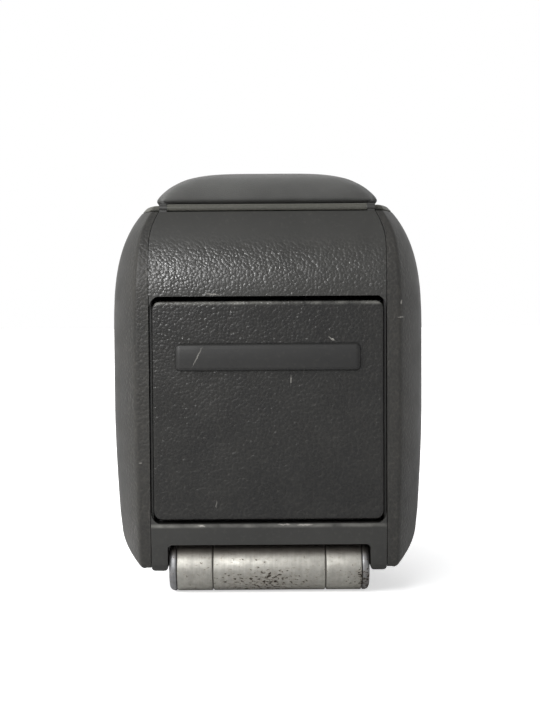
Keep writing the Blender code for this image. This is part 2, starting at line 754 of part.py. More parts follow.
def bin_mat(finish, axis):
    half = BIN_HALF_WIDTH - BIN_WALL - RUNNING_GAP
    rear = BIN_REAR_Y + BIN_WALL + RUNNING_GAP
    front = BIN_FRONT_Y - BIN_WALL - RUNNING_GAP
    low = BIN_FLOOR_Z + BIN_WALL + GAP
    mat = box(((-half, half), (rear, front), (low, low + MAT_THICKNESS)))
    return place("bin_mat", mat, finish, axis)


def cup_housing(finish, axis):
    """The pocket behind the flap, with a floor that rises towards the front."""
    half = MIDDLE_HALF - RAIL_WIDTH - 2 * GAP
    inner_back = HOUSING_BACK_Y - HOUSING_WALL
    outer = [(HOUSING_MOUTH_Y, HOUSING_FLOOR_FRONT_Z - HOUSING_WALL)]
    outer += [(HOUSING_BACK_Y, HOUSING_FLOOR_BACK_Z - HOUSING_WALL)]
    outer += [(HOUSING_BACK_Y, HOUSING_TOP_Z), (HOUSING_MOUTH_Y, HOUSING_TOP_Z)]
    made = place("cup_housing", prism(outer, (-half, half)), finish, axis)
    top = HOUSING_TOP_Z - HOUSING_WALL
    slope = (HOUSING_FLOOR_BACK_Z - HOUSING_FLOOR_FRONT_Z) / (HOUSING_BACK_Y - HOUSING_MOUTH_Y)
    start = HOUSING_MOUTH_Y - OVERRUN
    inner = [(start, HOUSING_FLOOR_FRONT_Z - OVERRUN * slope)]
    inner += [(inner_back, HOUSING_FLOOR_BACK_Z - HOUSING_WALL * slope)]
    inner += [(inner_back, top), (start, top)]
    cut(made, prism(inner, (-half + HOUSING_WALL, half - HOUSING_WALL)))
    return made


def hinge_frame(finish, axis):
    """Two steel arms from the barrel to a plate under the bin."""
    plate_top = BIN_FLOOR_Z - BIN_BOSS_HEIGHT - GAP
    rear = HOUSING_BACK_Y + SKIN
    middle_y = (HOUSING_BACK_Y + FRAME_PLATE_FRONT_Y) / 2
    arm = list(ARM_FOOT)
    arm += [(y, under_z(y) + ARM_CLEARANCE) for y in (HOUSING_BACK_Y, middle_y)]
    arm += [(FRAME_PLATE_FRONT_Y, plate_top - ARM_DEPTH), (FRAME_PLATE_FRONT_Y, plate_top)]
    arm += [(rear, plate_top), (rear, HOUSING_FLOOR_BACK_Z)]
    arm += [(rear - ARM_SHOULDER[0], HOUSING_FLOOR_BACK_Z - OVERRUN), ARM_SHOULDER]
    inner = ARM_X - ARM_THICKNESS / 2
    outer = ARM_X + ARM_THICKNESS / 2
    half = FRAME_PLATE_HALF_WIDTH
    plate_z = (plate_top - FRAME_PLATE_THICKNESS, plate_top)
    plate = box(((-half, half), (rear + OVERLAP, FRAME_PLATE_FRONT_Y - OVERLAP), plate_z))
    made = place("hinge_frame", plate, finish, axis)
    for side in (-1, 1):
        join(made, prism(arm, sorted((side * inner, side * outer))))
    length = BARREL_HALF_LENGTH * 2
    cut(made, rods("X", [(0, 0, 0)], BARREL_RADIUS + GAP, length, BARREL_SEGMENTS))
    starts = [(x, y, plate_z[0] - OVERLAP) for x, y in frame_screw_spots()]
    reach = FRAME_PLATE_THICKNESS + 2 * OVERLAP
    cut(made, rod_between("Z", starts, FRAME_SCREW_RADIUS + GAP, reach))
    return made


def frame_screws(finish, axis):
    """Four screws from below, through the steel plate into the bin's bosses."""
    under = BIN_FLOOR_Z - BIN_BOSS_HEIGHT - GAP - FRAME_PLATE_THICKNESS - GAP
    reach = SCREW_HEAD_HEIGHT / 2 + GAP + FRAME_PLATE_THICKNESS + BIN_BOSS_HEIGHT / 2
    for number, (x, y) in enumerate(frame_screw_spots(), 1):
        start = (x, y, under - SCREW_HEAD_HEIGHT)
        head = rod_between("Z", [start], SCREW_HEAD_RADIUS, SCREW_HEAD_HEIGHT)
        made = place(f"frame_screw_{number}", head, finish, axis)
        start = (x, y, under - SCREW_HEAD_HEIGHT / 2)
        join(made, rod_between("Z", [start], FRAME_SCREW_RADIUS, reach, 10))


def sleeve_profile(start, end, outer, inner, chamfer):
    """A tube section with small chamfers on its outer edges."""
    return [
        (start, inner),
        (start, outer - chamfer),
        (start + chamfer, outer),
        (end - chamfer, outer),
        (end, outer - chamfer),
        (end, inner),
    ]


def barrel(finish, cap_finish, bush_finish, fixed, axis):
    """The hinge barrel: a fixed middle sleeve, and outer sleeves, caps and bushes that turn."""
    half = CENTRE_SLEEVE_HALF
    profile = sleeve_profile(-half, half, BARREL_RADIUS, SHAFT_RADIUS + GAP, SLEEVE_CHAMFER)
    place("barrel_centre_sleeve", turned(profile), finish, fixed)
    start = half + GAP
    end = BARREL_HALF_LENGTH - END_CAP_LENGTH - GAP
    for side, word in ((-1, "left"), (1, "right")):
        profile = sleeve_profile(start, end, BARREL_RADIUS, SLEEVE_BORE, SLEEVE_CHAMFER)
        place(word + "_barrel_sleeve", turned([(side * x, r) for x, r in profile]), finish, axis)
        bush = [(start, SHAFT_RADIUS + GAP), (start, SLEEVE_BORE - GAP)]
        bush += [(end, SLEEVE_BORE - GAP), (end, SHAFT_RADIUS + GAP)]
        place(word + "_bush", turned([(side * x, r) for x, r in bush], 20), bush_finish, axis)
        cap = [(BARREL_HALF_LENGTH - END_CAP_LENGTH, 0.0)]
        cap += [(BARREL_HALF_LENGTH - END_CAP_LENGTH, BARREL_RADIUS - SLEEVE_CHAMFER / 2)]
        cap += [(BARREL_HALF_LENGTH - END_CAP_LENGTH + SLEEVE_CHAMFER / 2, BARREL_RADIUS)]
        for i in range(4):
            angle = math.pi / 2 * i / 3
            x = BARREL_HALF_LENGTH - END_CAP_ROUND * (1 - math.sin(angle))
            cap.append((x, BARREL_RADIUS - END_CAP_ROUND * (1 - math.cos(angle))))
        cap.append((BARREL_HALF_LENGTH, 0.0))
        place(word + "_end_cap", turned([(side * x, r) for x, r in cap]), cap_finish, axis)


def hinge_shaft(finish, fixed):
    reach = BARREL_HALF_LENGTH - END_CAP_LENGTH - GAP
    chamfer = SLEEVE_CHAMFER
    profile = [(-reach, 0.0), (-reach, SHAFT_RADIUS - chamfer), (-reach + chamfer, SHAFT_RADIUS)]
    profile += [(reach - chamfer, SHAFT_RADIUS), (reach, SHAFT_RADIUS - chamfer), (reach, 0.0)]
    place("hinge_shaft", turned(profile, 20), finish, fixed)


def bolt_spots():
    return [(x, y) for x in (-BOLT_X, BOLT_X) for y in BOLT_ROWS_Y]


def mounting_bracket(finish, fixed):
    """The foot plate with the saddle that carries the middle sleeve."""
    top = FOOT_Z + PLATE_THICKNESS
    half = PLATE_HALF_WIDTH
    plate = box(((-half, half), (PLATE_REAR_Y, PLATE_FRONT_Y), (FOOT_Z, top)))
    made = place("mounting_bracket", plate, finish, fixed)
    saddle = [(PLATE_REAR_Y, FOOT_Z + OVERLAP), (SADDLE_FRONT_Y, FOOT_Z + OVERLAP)]
    saddle += [(SADDLE_FRONT_Y, top), (SADDLE_KNEE_Y, SADDLE_KNEE_Z)]
    saddle += [(SADDLE_TOP_Y, SADDLE_TOP_Z)]
    join(made, prism(saddle, (-SADDLE_HALF_WIDTH, SADDLE_HALF_WIDTH)))
    length = BARREL_HALF_LENGTH * 2
    cut(made, rods("X", [(0, 0, 0)], BARREL_RADIUS + GAP, length, BARREL_SEGMENTS))
    starts = [(x, y, FOOT_Z - OVERLAP) for x, y in bolt_spots()]
    cut(made, rod_between("Z", starts, BOLT_RADIUS + GAP, PLATE_THICKNESS + 2 * OVERLAP))


def bracket_bolts(finish, fixed):
    top = FOOT_Z + PLATE_THICKNESS + GAP
    for number, (x, y) in enumerate(bolt_spots(), 1):
        head = rod_between("Z", [(x, y, top)], BOLT_HEAD_RADIUS, BOLT_HEAD_HEIGHT, 6)
        made = place(f"bracket_bolt_{number}", head, finish, fixed)
        start = (x, y, FOOT_Z + GAP)
        join(made, rod_between("Z", [start], BOLT_RADIUS, PLATE_THICKNESS + OVERLAP))


def lid_frame(finish, lid):
    """The rigid frame of the lid, with the hinge roll at the rear and the latch lugs at the front."""
    levels = (LID_FRAME_BOTTOM_Z, LID_FRAME_TOP_Z)
    made = place("lid_frame", loft([shell_loop(z, z) for z in levels]), finish, lid)
    rear = LID_PIVOT_Y + LID_FRAME_REAR_GAP
    wide = HALF_WIDTH
    cut(made, box(((-wide, wide), (REAR_Y, rear), (RIM_Z, LID_FRAME_TOP_Z + OVERRUN))))
    half = LID_ROLL_HALF_LENGTH
    join(made, rods("X", [(0, LID_PIVOT_Y, LID_PIVOT_Z)], LID_ROLL_RADIUS, 2 * half))
    web_z = (LID_PIVOT_Z - LID_WEB_HALF, LID_PIVOT_Z + LID_WEB_HALF)
    join(made, box(((-half, half), (LID_PIVOT_Y, rear + OVERLAP), web_z)))
    for side in (-1, 1):
        starts = [(side * (half + OVERLAP), LID_PIVOT_Y, LID_PIVOT_Z)]
        reach = -side * (LID_PIN_REACH + OVERLAP + GAP)
        cut(made, rod_between("X", starts, LID_PIN_RADIUS + GAP, reach))
        lug = sorted(side * (LATCH_HALF_WIDTH + RUNNING_GAP + x) for x in (0, LATCH_LUG_WIDTH))
        lug_y = (LATCH_PIVOT_Y - LATCH_BOSS_RADIUS, LATCH_PIVOT_Y + LATCH_BOSS_RADIUS)
        lug_z = (LATCH_PIVOT_Z - LATCH_BOSS_RADIUS, LID_FRAME_BOTTOM_Z + OVERLAP)
        join(made, box((lug, lug_y, lug_z)))
    reach = LATCH_HALF_WIDTH + LATCH_LUG_WIDTH + OVERRUN
    starts = [(-reach, LATCH_PIVOT_Y, LATCH_PIVOT_Z)]
    cut(made, rod_between("X", starts, LATCH_PIN_RADIUS + GAP, 2 * reach))
    return made


def lid_inner_panel(finish, lid):
    half = BIN_HALF_WIDTH - BIN_WALL - PANEL_CLEARANCE
    rear = BIN_REAR_Y + BIN_WALL + PANEL_CLEARANCE
    front = BIN_FRONT_Y - BIN_WALL - PANEL_CLEARANCE
    top = LID_FRAME_BOTTOM_Z - GAP
    panel = box(((-half, half), (rear, front), (top - PANEL_DEPTH, top)))
    return place("lid_inner_panel", panel, finish, lid)


def lid_pad(finish, lid):
    """The soft top: flat sides that round off late, and longer rounded ends."""
    height = PAD_CROWN_Z - PAD_BASE_Z
    front_base = FRONT_Y - end_roll(LID_FRAME_TOP_Z) - PAD_FRONT_STEP
    loops = []
    for drop in (1.0, 0.84, 0.66, 0.48, 0.3, 0.15, 0.05, 0.0):
        left = max(drop, 0.004)
        half = PAD_BASE_HALF_WIDTH * left**PAD_SIDE_POWER
        end = PAD_END_LENGTH * (1 - left**PAD_END_POWER)
        z = PAD_CROWN_Z - height * drop
        ends = (PAD_REAR_Y + end, front_base - end)
        loops.append(full_loop(z, half, half - PAD_CORNER_DRAW, *ends))
    return place("lid_pad", loft(loops), finish, lid)


def lid_hinge_pins(finish, axis):
    """Stub pins from the fixed knuckles into the roll."""
    inner = LID_ROLL_HALF_LENGTH - LID_PIN_REACH
    outer = seam_x(RIM_Z) - 2 * GAP
    for side, word in ((-1, "left"), (1, "right")):
        start = (side * inner, LID_PIVOT_Y, LID_PIVOT_Z)
        rod = rod_between("X", [start], LID_PIN_RADIUS, side * (outer - inner), 10)
        place(word + "_lid_hinge_pin", rod, finish, axis)


def latch_pin(finish, lid):
    reach = LATCH_HALF_WIDTH + RUNNING_GAP + LATCH_LUG_WIDTH
    starts = [(-reach, LATCH_PIVOT_Y, LATCH_PIVOT_Z)]
    return place("latch_pin", rod_between("X", starts, LATCH_PIN_RADIUS, 2 * reach, 10), finish, lid)


def latch_catch(finish, axis):
    half = CATCH_HALF_WIDTH
    low = LATCH_NOSE_BOTTOM_Z - GAP
    y = (BIN_FRONT_Y + GAP, BIN_FRONT_Y + CATCH_DEPTH)
    return place("latch_catch", box(((-half, half), y, (low, low + CATCH_HEIGHT))), finish, axis)


def latch_lever(finish, latch):
    """A paddle that follows the front roll, with a boss on the pin and a nose behind the catch."""
    half = LATCH_HALF_WIDTH
    boss = rods("X", [(0, LATCH_PIVOT_Y, LATCH_PIVOT_Z)], LATCH_BOSS_RADIUS, 2 * half, 16)
    made = place("latch_lever", boss, finish, latch)
    outer = []
    for i in range(5):
        z = LATCH_PADDLE_BOTTOM_Z + (LATCH_PADDLE_TOP_Z - LATCH_PADDLE_BOTTOM_Z) * i / 4
        outer.append((FRONT_Y - end_roll(z), z))
    inner_y = outer[-1][0] - SKIN
    root = LATCH_BOSS_RADIUS * 0.8
    paddle = outer + [(LATCH_PIVOT_Y, LATCH_PADDLE_TOP_Z), (LATCH_PIVOT_Y, LATCH_PIVOT_Z - root)]
    paddle += [(inner_y, LATCH_PADDLE_TOP_Z - LATCH_NOSE_THICKNESS)]
    paddle += [(outer[0][0] - SKIN, outer[0][1])]
    join(made, prism(paddle, (-half, half)))
    nose_start = LATCH_PIVOT_Y + LATCH_NOSE_STEP
    nose_y = (nose_start, nose_start + LATCH_NOSE_THICKNESS)
    nose_z = (LATCH_NOSE_BOTTOM_Z, LATCH_PIVOT_Z - LATCH_BOSS_RADIUS / 4)
    wide = LATCH_NOSE_HALF_WIDTH
    join(made, box(((-wide, wide), nose_y, nose_z)))
    starts = [(-half - OVERLAP, LATCH_PIVOT_Y, LATCH_PIVOT_Z)]
    cut(made, rod_between("X", starts, LATCH_PIN_RADIUS + GAP, 2 * (half + OVERLAP), 10))
    return made


def flap_outline():
    """Front view of the door, a rounded rectangle in (x, z)."""
    points = []
    half = FLAP_HALF_WIDTH - FLAP_CORNER_ROUND
    low = FLAP_BOTTOM_Z + FLAP_CORNER_ROUND
    high = FLAP_TOP_Z - FLAP_CORNER_ROUND
    corners = ((half, low), (half, high), (-half, high), (-half, low))
    for quarter, (x, z) in enumerate(corners):
        for i in range(5):
            angle = math.pi / 2 * (quarter - 1 + i / 4)
            along = FLAP_CORNER_ROUND * math.cos(angle)
            points.append((x + along, z + FLAP_CORNER_ROUND * math.sin(angle)))
    return points


def pull_bar():
    """The raised bar that the flap is pulled down by, with rounded ends."""
    base_y = REAR_Y + OVERLAP
    middle = (PULL_BOTTOM_Z + PULL_TOP_Z) / 2
    stations = []
    for i in range(4):
        angle = math.pi / 2 * i / 3
        x = PULL_HALF_WIDTH - PULL_END_ROUND * (1 - math.cos(angle))
        stations.append((x, PULL_TIP_SHARE + (1 - PULL_TIP_SHARE) * math.sin(angle)))
    stations += [(-x, share) for x, share in reversed(stations)]
    loops = []
    for x, share in stations:
        reach = (PULL_TOP_Z - PULL_BOTTOM_Z) * share
        low = middle - reach / 2
        loop = [(x, base_y, low)]
        for up, out in PULL_PROFILE:
            loop.append((x, REAR_Y - PULL_HEIGHT * out * share**2, low + reach * up))
        loop.append((x, base_y, low + reach))
        loops.append(loop)
    return loft(loops)


def post_spots():
    heights = (TRAY_BOTTOM_Z + POST_INSET_Z, TRAY_TOP_Z - POST_INSET_Z)
    return [(x, z) for x in (-POST_X, POST_X) for z in heights]


def flap_door(finish, flap):
    """The door skin with its pull bar, hinge knuckles and tray bosses."""
    inner_y = REAR_Y + FLAP_THICKNESS
    bm = bmesh.new()
    face = bm.faces.new([bm.verts.new((x, inner_y, z)) for x, z in flap_outline()])
    drawn = bmesh.ops.extrude_face_region(bm, geom=[face])
    moved = [item for item in drawn["geom"] if isinstance(item, bmesh.types.BMVert)]
    bmesh.ops.translate(bm, vec=(0, -(FLAP_THICKNESS - FLAP_EDGE_ROUND), 0), verts=moved)
    front = [item for item in drawn["geom"] if isinstance(item, bmesh.types.BMFace)]
    bmesh.ops.inset_region(bm, faces=front, thickness=FLAP_EDGE_ROUND, depth=0, use_even_offset=True)
    bmesh.ops.translate(bm, vec=(0, -FLAP_EDGE_ROUND, 0), verts=front[0].verts)
    made = place("flap_door", bm, finish, flap)
    join(made, pull_bar())
    root_y = inner_y - OVERLAP
    knuckle_end = FLAP_HALF_WIDTH - FLAP_KNUCKLE_INSET
    for side in (-1, 1):
        starts = [(side * knuckle_end, FLAP_PIVOT_Y, FLAP_PIVOT_Z)]
        join(made, rod_between("X", starts, FLAP_KNUCKLE_RADIUS, -side * FLAP_KNUCKLE_LENGTH))
        web_x = sorted((side * knuckle_end, side * (knuckle_end - FLAP_KNUCKLE_LENGTH)))
        web_z = (FLAP_PIVOT_Z - FLAP_WEB_HALF, FLAP_PIVOT_Z + FLAP_WEB_HALF)
        join(made, box((web_x, (root_y, FLAP_PIVOT_Y), web_z)))
    starts = [(x, root_y, z) for x, z in post_spots()]
    join(made, rod_between("Y", starts, BOSS_RADIUS, BOSS_TIP_Y - root_y))
    foot = FLAP_FOOT_ROUND
    outside = (REAR_Y - OVERLAP, FLAP_BOTTOM_Z - OVERLAP)
    corner = [outside, (REAR_Y + foot, outside[1]), (REAR_Y + foot, FLAP_BOTTOM_Z)]
    for i in range(1, 4):
        angle = math.pi / 2 * i / 4
        y = REAR_Y + foot * (1 - math.sin(angle))
        corner.append((y, FLAP_BOTTOM_Z + foot * (1 - math.cos(angle))))
    corner += [(REAR_Y, FLAP_BOTTOM_Z + foot), (outside[0], FLAP_BOTTOM_Z + foot)]
    cut(made, prism(corner, (-HALF_WIDTH, HALF_WIDTH)))
    starts = [(-HALF_WIDTH, FLAP_PIVOT_Y, FLAP_PIVOT_Z)]
    cut(made, rod_between("X", starts, FLAP_PIN_RADIUS + GAP, 2 * HALF_WIDTH))
    starts = [(x, inner_y + BORE_FLOOR, z) for x, z in post_spots()]
    cut(made, rod_between("Y", starts, SCREW_RADIUS + GAP, BOSS_TIP_Y - inner_y + BORE_FLOOR))
    return made


def cup_tray(finish, flap):
    """A skirted tray with two cup wells, which face up when the flap is down."""
    half = TRAY_HALF_WIDTH
    wall = TRAY_WALL
    skirt_y = REAR_Y + FLAP_THICKNESS + GAP
    span_z = (TRAY_BOTTOM_Z, TRAY_TOP_Z)
    made = place("cup_tray", box(((-half, half), (skirt_y, TRAY_FACE_Y), span_z)), finish, flap)
    hollow_z = (TRAY_BOTTOM_Z + wall, TRAY_TOP_Z - wall)
    hollow_y = (skirt_y - OVERRUN, TRAY_FACE_Y - wall)
    cut(made, box(((-half + wall, half - wall), hollow_y, hollow_z)))
    middle_z = (TRAY_BOTTOM_Z + TRAY_TOP_Z) / 2
    for side in (-1, 1):
        x = side * CUP_SPACING / 2
        starts = [(x, TRAY_FACE_Y - OVERLAP, middle_z)]
        reach = CUP_DEPTH + CUP_WALL - OVERLAP
        join(made, rod_between("Y", starts, CUP_RADIUS + CUP_WALL, -reach, 32))
        starts = [(x, TRAY_FACE_Y + OVERLAP, middle_z)]
        cut(made, rod_between("Y", starts, CUP_RADIUS, -(CUP_DEPTH + OVERLAP), 32))
    tip = BOSS_TIP_Y + GAP
    starts = [(x, tip, z) for x, z in post_spots()]
    join(made, rod_between("Y", starts, POST_RADIUS, TRAY_FACE_Y - OVERLAP - tip))
    starts = [(x, TRAY_FACE_Y - SCREW_HEAD_DEPTH, z) for x, z in post_spots()]
    cut(made, rod_between("Y", starts, SCREW_HEAD_RADIUS + GAP, SCREW_HEAD_DEPTH + OVERLAP))
    starts = [(x, tip - OVERLAP, z) for x, z in post_spots()]
    cut(made, rod_between("Y", starts, SCREW_RADIUS + GAP, TRAY_FACE_Y - tip))
    return made


def tray_screws(finish, flap):
    """Four screws from the cup side, through the posts into the door's bosses."""
    seat = TRAY_FACE_Y - SCREW_HEAD_DEPTH + GAP
    tip = REAR_Y + FLAP_THICKNESS + BORE_FLOOR + OVERLAP
    for number, (x, z) in enumerate(post_spots(), 1):
        head = rod_between("Y", [(x, seat, z)], SCREW_HEAD_RADIUS, SCREW_HEAD_HEIGHT)
        made = place(f"tray_screw_{number}", head, finish, flap)
        reach = seat + SCREW_HEAD_HEIGHT / 2 - tip
        join(made, rod_between("Y", [(x, tip, z)], SCREW_RADIUS, reach, 10))


def flap_hinge_pins(finish, axis):
    inner = FLAP_HALF_WIDTH - FLAP_KNUCKLE_INSET - FLAP_KNUCKLE_LENGTH + OVERLAP
    outer = MIDDLE_HALF
    for side, word in ((-1, "left"), (1, "right")):
        start = (side * inner, FLAP_PIVOT_Y, FLAP_PIVOT_Z)
        rod = rod_between("X", [start], FLAP_PIN_RADIUS, side * (outer - inner), 10)
        place(word + "_flap_hinge_pin", rod, finish, axis)


def main():
    for old in list(bpy.data.objects):
        bpy.data.objects.remove(old)
    bracket = axis_empty("barrel_axis_fixed", 0, 0, 0)
    armrest = axis_empty("armrest_tilt_axis", 0, 0, 0)
    lid = axis_empty("lid_axis", 0, LID_PIVOT_Y, LID_PIVOT_Z, armrest)
    latch = axis_empty("latch_axis", 0, LATCH_PIVOT_Y, LATCH_PIVOT_Z, lid)
    flap = axis_empty("flap_axis", 0, FLAP_PIVOT_Y, FLAP_PIVOT_Z, armrest)

    mounting_bracket(paint("black_steel", "2b2b2c", 0.5, 0.6), bracket)
    bracket_bolts(paint("zinc_bolts", "8d8f90", 0.35, 1.0), bracket)
    hinge_shaft(paint("bright_shaft", "9a9b9c", 0.25, 1.0), bracket)
    silver = paint("silver_painted_sleeve", "9b9993", 0.45, 0.5)
    caps = paint("silver_painted_cap", "8f9094", 0.45, 0.5)
    barrel(silver, caps, paint("bush_nylon", "d6d3c8", 0.5), bracket, armrest)

    cheek("left_cheek", -1, paint("cheek_plastic_left", "4a4a4a", 0.6), armrest)
    cheek("right_cheek", 1, paint("cheek_plastic_right", "4a4a4a", 0.6), armrest)
    rear_frame(paint("grained_frame_plastic", "464646", 0.6), armrest)
    underside_cover(paint("underside_plastic", "3c3c3c", 0.7), armrest)
    storage_bin(paint("bin_plastic", "2c2c2d", 0.7), armrest)
    bin_mat(paint("mat_rubber", "1d1d1e", 0.9), armrest)
    cup_housing(paint("housing_plastic", "27272a", 0.7), armrest)
    hinge_frame(paint("hinge_steel", "3a3a3b", 0.5, 0.7), armrest)
    frame_screws(paint("frame_screw_steel", "7d7f80", 0.35, 1.0), armrest)
    lid_hinge_pins(paint("lid_pin_steel", "8d8f90", 0.3, 1.0), armrest)
    flap_hinge_pins(paint("flap_pin_steel", "8d8f90", 0.3, 1.0), armrest)
    latch_catch(paint("catch_steel", "77797a", 0.4, 1.0), armrest)

    lid_frame(paint("lid_frame_plastic", "5a5a56", 0.6), lid)
    lid_inner_panel(paint("panel_plastic", "333334", 0.7), lid)
    lid_pad(paint("pad_cover", "5e5e5c", 0.65), lid)
    latch_pin(paint("latch_pin_steel", "8d8f90", 0.3, 1.0), lid)
    latch_lever(paint("latch_plastic", "3a3a3a", 0.5), latch)

    flap_door(paint("grained_flap_plastic", "404040", 0.6), flap)
    cup_tray(paint("tray_plastic", "303031", 0.65), flap)
    tray_screws(paint("tray_screw_steel", "7d7f80", 0.35, 1.0), flap)


main()
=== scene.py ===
"""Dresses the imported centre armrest: its finer shells, the cushion, the finishes, light and camera.

Sizes are in millimetres from the axis of the hinge barrel: X to the right, Y towards the front of
the armrest, Z up. frame_place() carries them into the frame's metres.
"""

import json
import logging
import math
from dataclasses import dataclass
from enum import Enum
from typing import Any, Callable

import bmesh
import bpy
from mathutils import Matrix, Vector

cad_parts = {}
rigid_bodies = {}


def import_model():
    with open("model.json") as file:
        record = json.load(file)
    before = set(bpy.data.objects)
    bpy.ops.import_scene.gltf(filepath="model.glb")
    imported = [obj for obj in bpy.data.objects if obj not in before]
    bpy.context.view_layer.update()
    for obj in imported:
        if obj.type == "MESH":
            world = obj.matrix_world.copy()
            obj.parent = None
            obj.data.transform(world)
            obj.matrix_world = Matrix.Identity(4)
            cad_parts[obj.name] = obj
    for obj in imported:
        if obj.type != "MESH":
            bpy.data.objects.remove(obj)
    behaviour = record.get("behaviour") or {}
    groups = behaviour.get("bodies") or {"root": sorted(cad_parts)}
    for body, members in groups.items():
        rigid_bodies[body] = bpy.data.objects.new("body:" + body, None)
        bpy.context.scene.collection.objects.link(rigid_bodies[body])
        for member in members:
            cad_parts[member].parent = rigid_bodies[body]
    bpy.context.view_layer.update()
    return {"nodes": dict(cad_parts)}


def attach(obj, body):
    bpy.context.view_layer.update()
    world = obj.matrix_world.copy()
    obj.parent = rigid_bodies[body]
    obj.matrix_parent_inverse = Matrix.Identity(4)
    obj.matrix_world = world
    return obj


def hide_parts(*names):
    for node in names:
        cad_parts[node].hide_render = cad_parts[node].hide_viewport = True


LOG = logging.getLogger("armrest")
MM = 0.001
# Where the barrel axis lies in the frame, in millimetres
AXIS_Y = -42.5
AXIS_Z = 13.0
QUARTER = math.pi / 2
# Edges of turned parts that are sharper than this stay crisp
CRISP = math.radians(35)

Pair = tuple[float, float]
Point = tuple[float, float, float]
Grid = list[list[Point]]
Mesh = bmesh.types.BMesh
Piece = bpy.types.Object
Material = bpy.types.Material
Socket = bpy.types.NodeSocket


class Body(Enum):
    """The moving bodies of the armrest."""

    BASE = "base"
    ARMREST = "armrest"
    LID = "lid"
    LATCH = "latch"
    FLAP = "flap"


# ---------------------------------------------------------------- mesh helpers


def frame_place() -> Matrix:
    """The matrix from millimetres about the barrel axis to the frame's metres."""
    return Matrix.Scale(MM, 4) @ Matrix.Translation((0.0, AXIS_Y, AXIS_Z))


def steps(start: float, end: float, count: int) -> list[float]:
    """count + 1 evenly spaced numbers from start to end."""
    return [start + (end - start) * i / count for i in range(count + 1)]


def smoothstep(low: float, high: float, value: float) -> float:
    """A soft step from 0 at low to 1 at high."""
    t = min(1.0, max(0.0, (value - low) / (high - low)))
    return t * t * (3 - 2 * t)


def rounding(radius: float, count: int, falling: bool = False) -> list[Pair]:
    """Gives the steps of a rounded edge between two square faces.

    Args:
        radius: Radius of the rounding.
        count: How many steps it has.
        falling: Runs the other way.

    Returns:
        How far each step is set back from the first face, 0 at the start, and from the second.
    """
    turns = steps(QUARTER, 0.0, count) if falling else steps(0.0, QUARTER, count)
    return [(radius * (1 - math.cos(a)), radius * (1 - math.sin(a))) for a in turns]


def add_skin(bm: Mesh, outer: Grid, inner: Grid, keep: Callable[[int, int], bool] | None = None) -> None:
    """Adds a closed skin between two grids of points.

    Args:
        bm: The mesh that the skin goes into.
        outer: Rows of points of the outside.
        inner: The matching rows of the inside.
        keep: Says which cells exist, by row and column. All of them if left out.
    """
    front = [[bm.verts.new(p) for p in row] for row in outer]
    back = [[bm.verts.new(p) for p in row] for row in inner]
    rows, columns = len(outer) - 1, len(outer[0]) - 1
    cells = {(i, j) for i in range(rows) for j in range(columns) if keep is None or keep(i, j)}
    for i, j in cells:
        bm.faces.new((front[i][j], front[i][j + 1], front[i + 1][j + 1], front[i + 1][j]))
        bm.faces.new((back[i][j], back[i + 1][j], back[i + 1][j + 1], back[i][j + 1]))
        for near, a, b in (
            ((i - 1, j), (i, j), (i, j + 1)),
            ((i + 1, j), (i + 1, j + 1), (i + 1, j)),
            ((i, j - 1), (i + 1, j), (i, j)),
            ((i, j + 1), (i, j + 1), (i + 1, j + 1)),
        ):
            if near not in cells:
                (ai, aj), (bi, bj) = a, b
                bm.faces.new((front[bi][bj], front[ai][aj], back[ai][aj], back[bi][bj]))
    bmesh.ops.delete(bm, geom=[v for v in bm.verts if not v.link_faces], context="VERTS")


def add_loft(bm: Mesh, loops: list[list[Point]]) -> None:
    """Adds a closed body through loops of equal length.

    Args:
        bm: The mesh that the body goes into.
        loops: The loops, from one end to the other.
    """
    rings = [[bm.verts.new(p) for p in loop] for loop in loops]
    for low, high in zip(rings, rings[1:]):
        for i in range(len(low)):
            bm.faces.new((low[i - 1], low[i], high[i], high[i - 1]))
    bm.faces.new(reversed(rings[0]))
    bm.faces.new(rings[-1])


def add_rod(bm: Mesh, axis: str, start: Point, length: float, radius: float, sides: int = 32) -> None:
    """Adds a round rod.

    Args:
        bm: The mesh that the rod goes into.
        axis: The axis that it runs along, X, Y or Z.
        start: Middle of its first end.
        length: Length along the axis, which may be negative.
        radius: Radius.
        sides: How many sides it has.
    """
    way = {"X": Vector((1, 0, 0)), "Y": Vector((0, 1, 0)), "Z": Vector((0, 0, 1))}[axis]
    turn = way.to_track_quat("Z", "Y").to_matrix().to_4x4()
    place = Matrix.Translation(Vector(start) + way * length / 2) @ turn
    bmesh.ops.create_cone(
        bm, cap_ends=True, segments=sides, radius1=radius, radius2=radius, depth=abs(length), matrix=place
    )


def add_block(bm: Mesh, x: Pair, y: Pair, z: Pair) -> None:
    """Adds a straight block between pairs of places.

    Args:
        bm: The mesh that the block goes into.
        x: Its ends along X.
        y: Its ends along Y.
        z: Its ends along Z.
    """
    lows, highs = zip(sorted(x), sorted(y), sorted(z))
    size = Matrix.Diagonal((*(b - a for a, b in zip(lows, highs)), 1))
    middle = Matrix.Translation([(a + b) / 2 for a, b in zip(lows, highs)])
    bmesh.ops.create_cube(bm, size=1, matrix=middle @ size)


def offset_path(path: list[Pair], distance: float) -> list[Pair]:
    """Moves a (y, z) path to its left, with mitred corners.

    Args:
        path: The path's points.
        distance: How far it moves; a negative number moves it to the right.

    Returns:
        The moved points.
    """
    moved = []
    for i, here in enumerate(path):
        normals = []
        for a, b in ((path[max(i - 1, 0)], here), (here, path[min(i + 1, len(path) - 1)])):
            run = Vector((b[0] - a[0], b[1] - a[1]))
            if run.length > 1e-9:
                normals.append(Vector((-run.y, run.x)).normalized())
        mean = sum(normals, Vector((0, 0))).normalized()
        reach = distance / mean.dot(normals[0])
        moved.append((here[0] + mean.x * reach, here[1] + mean.y * reach))
    return moved


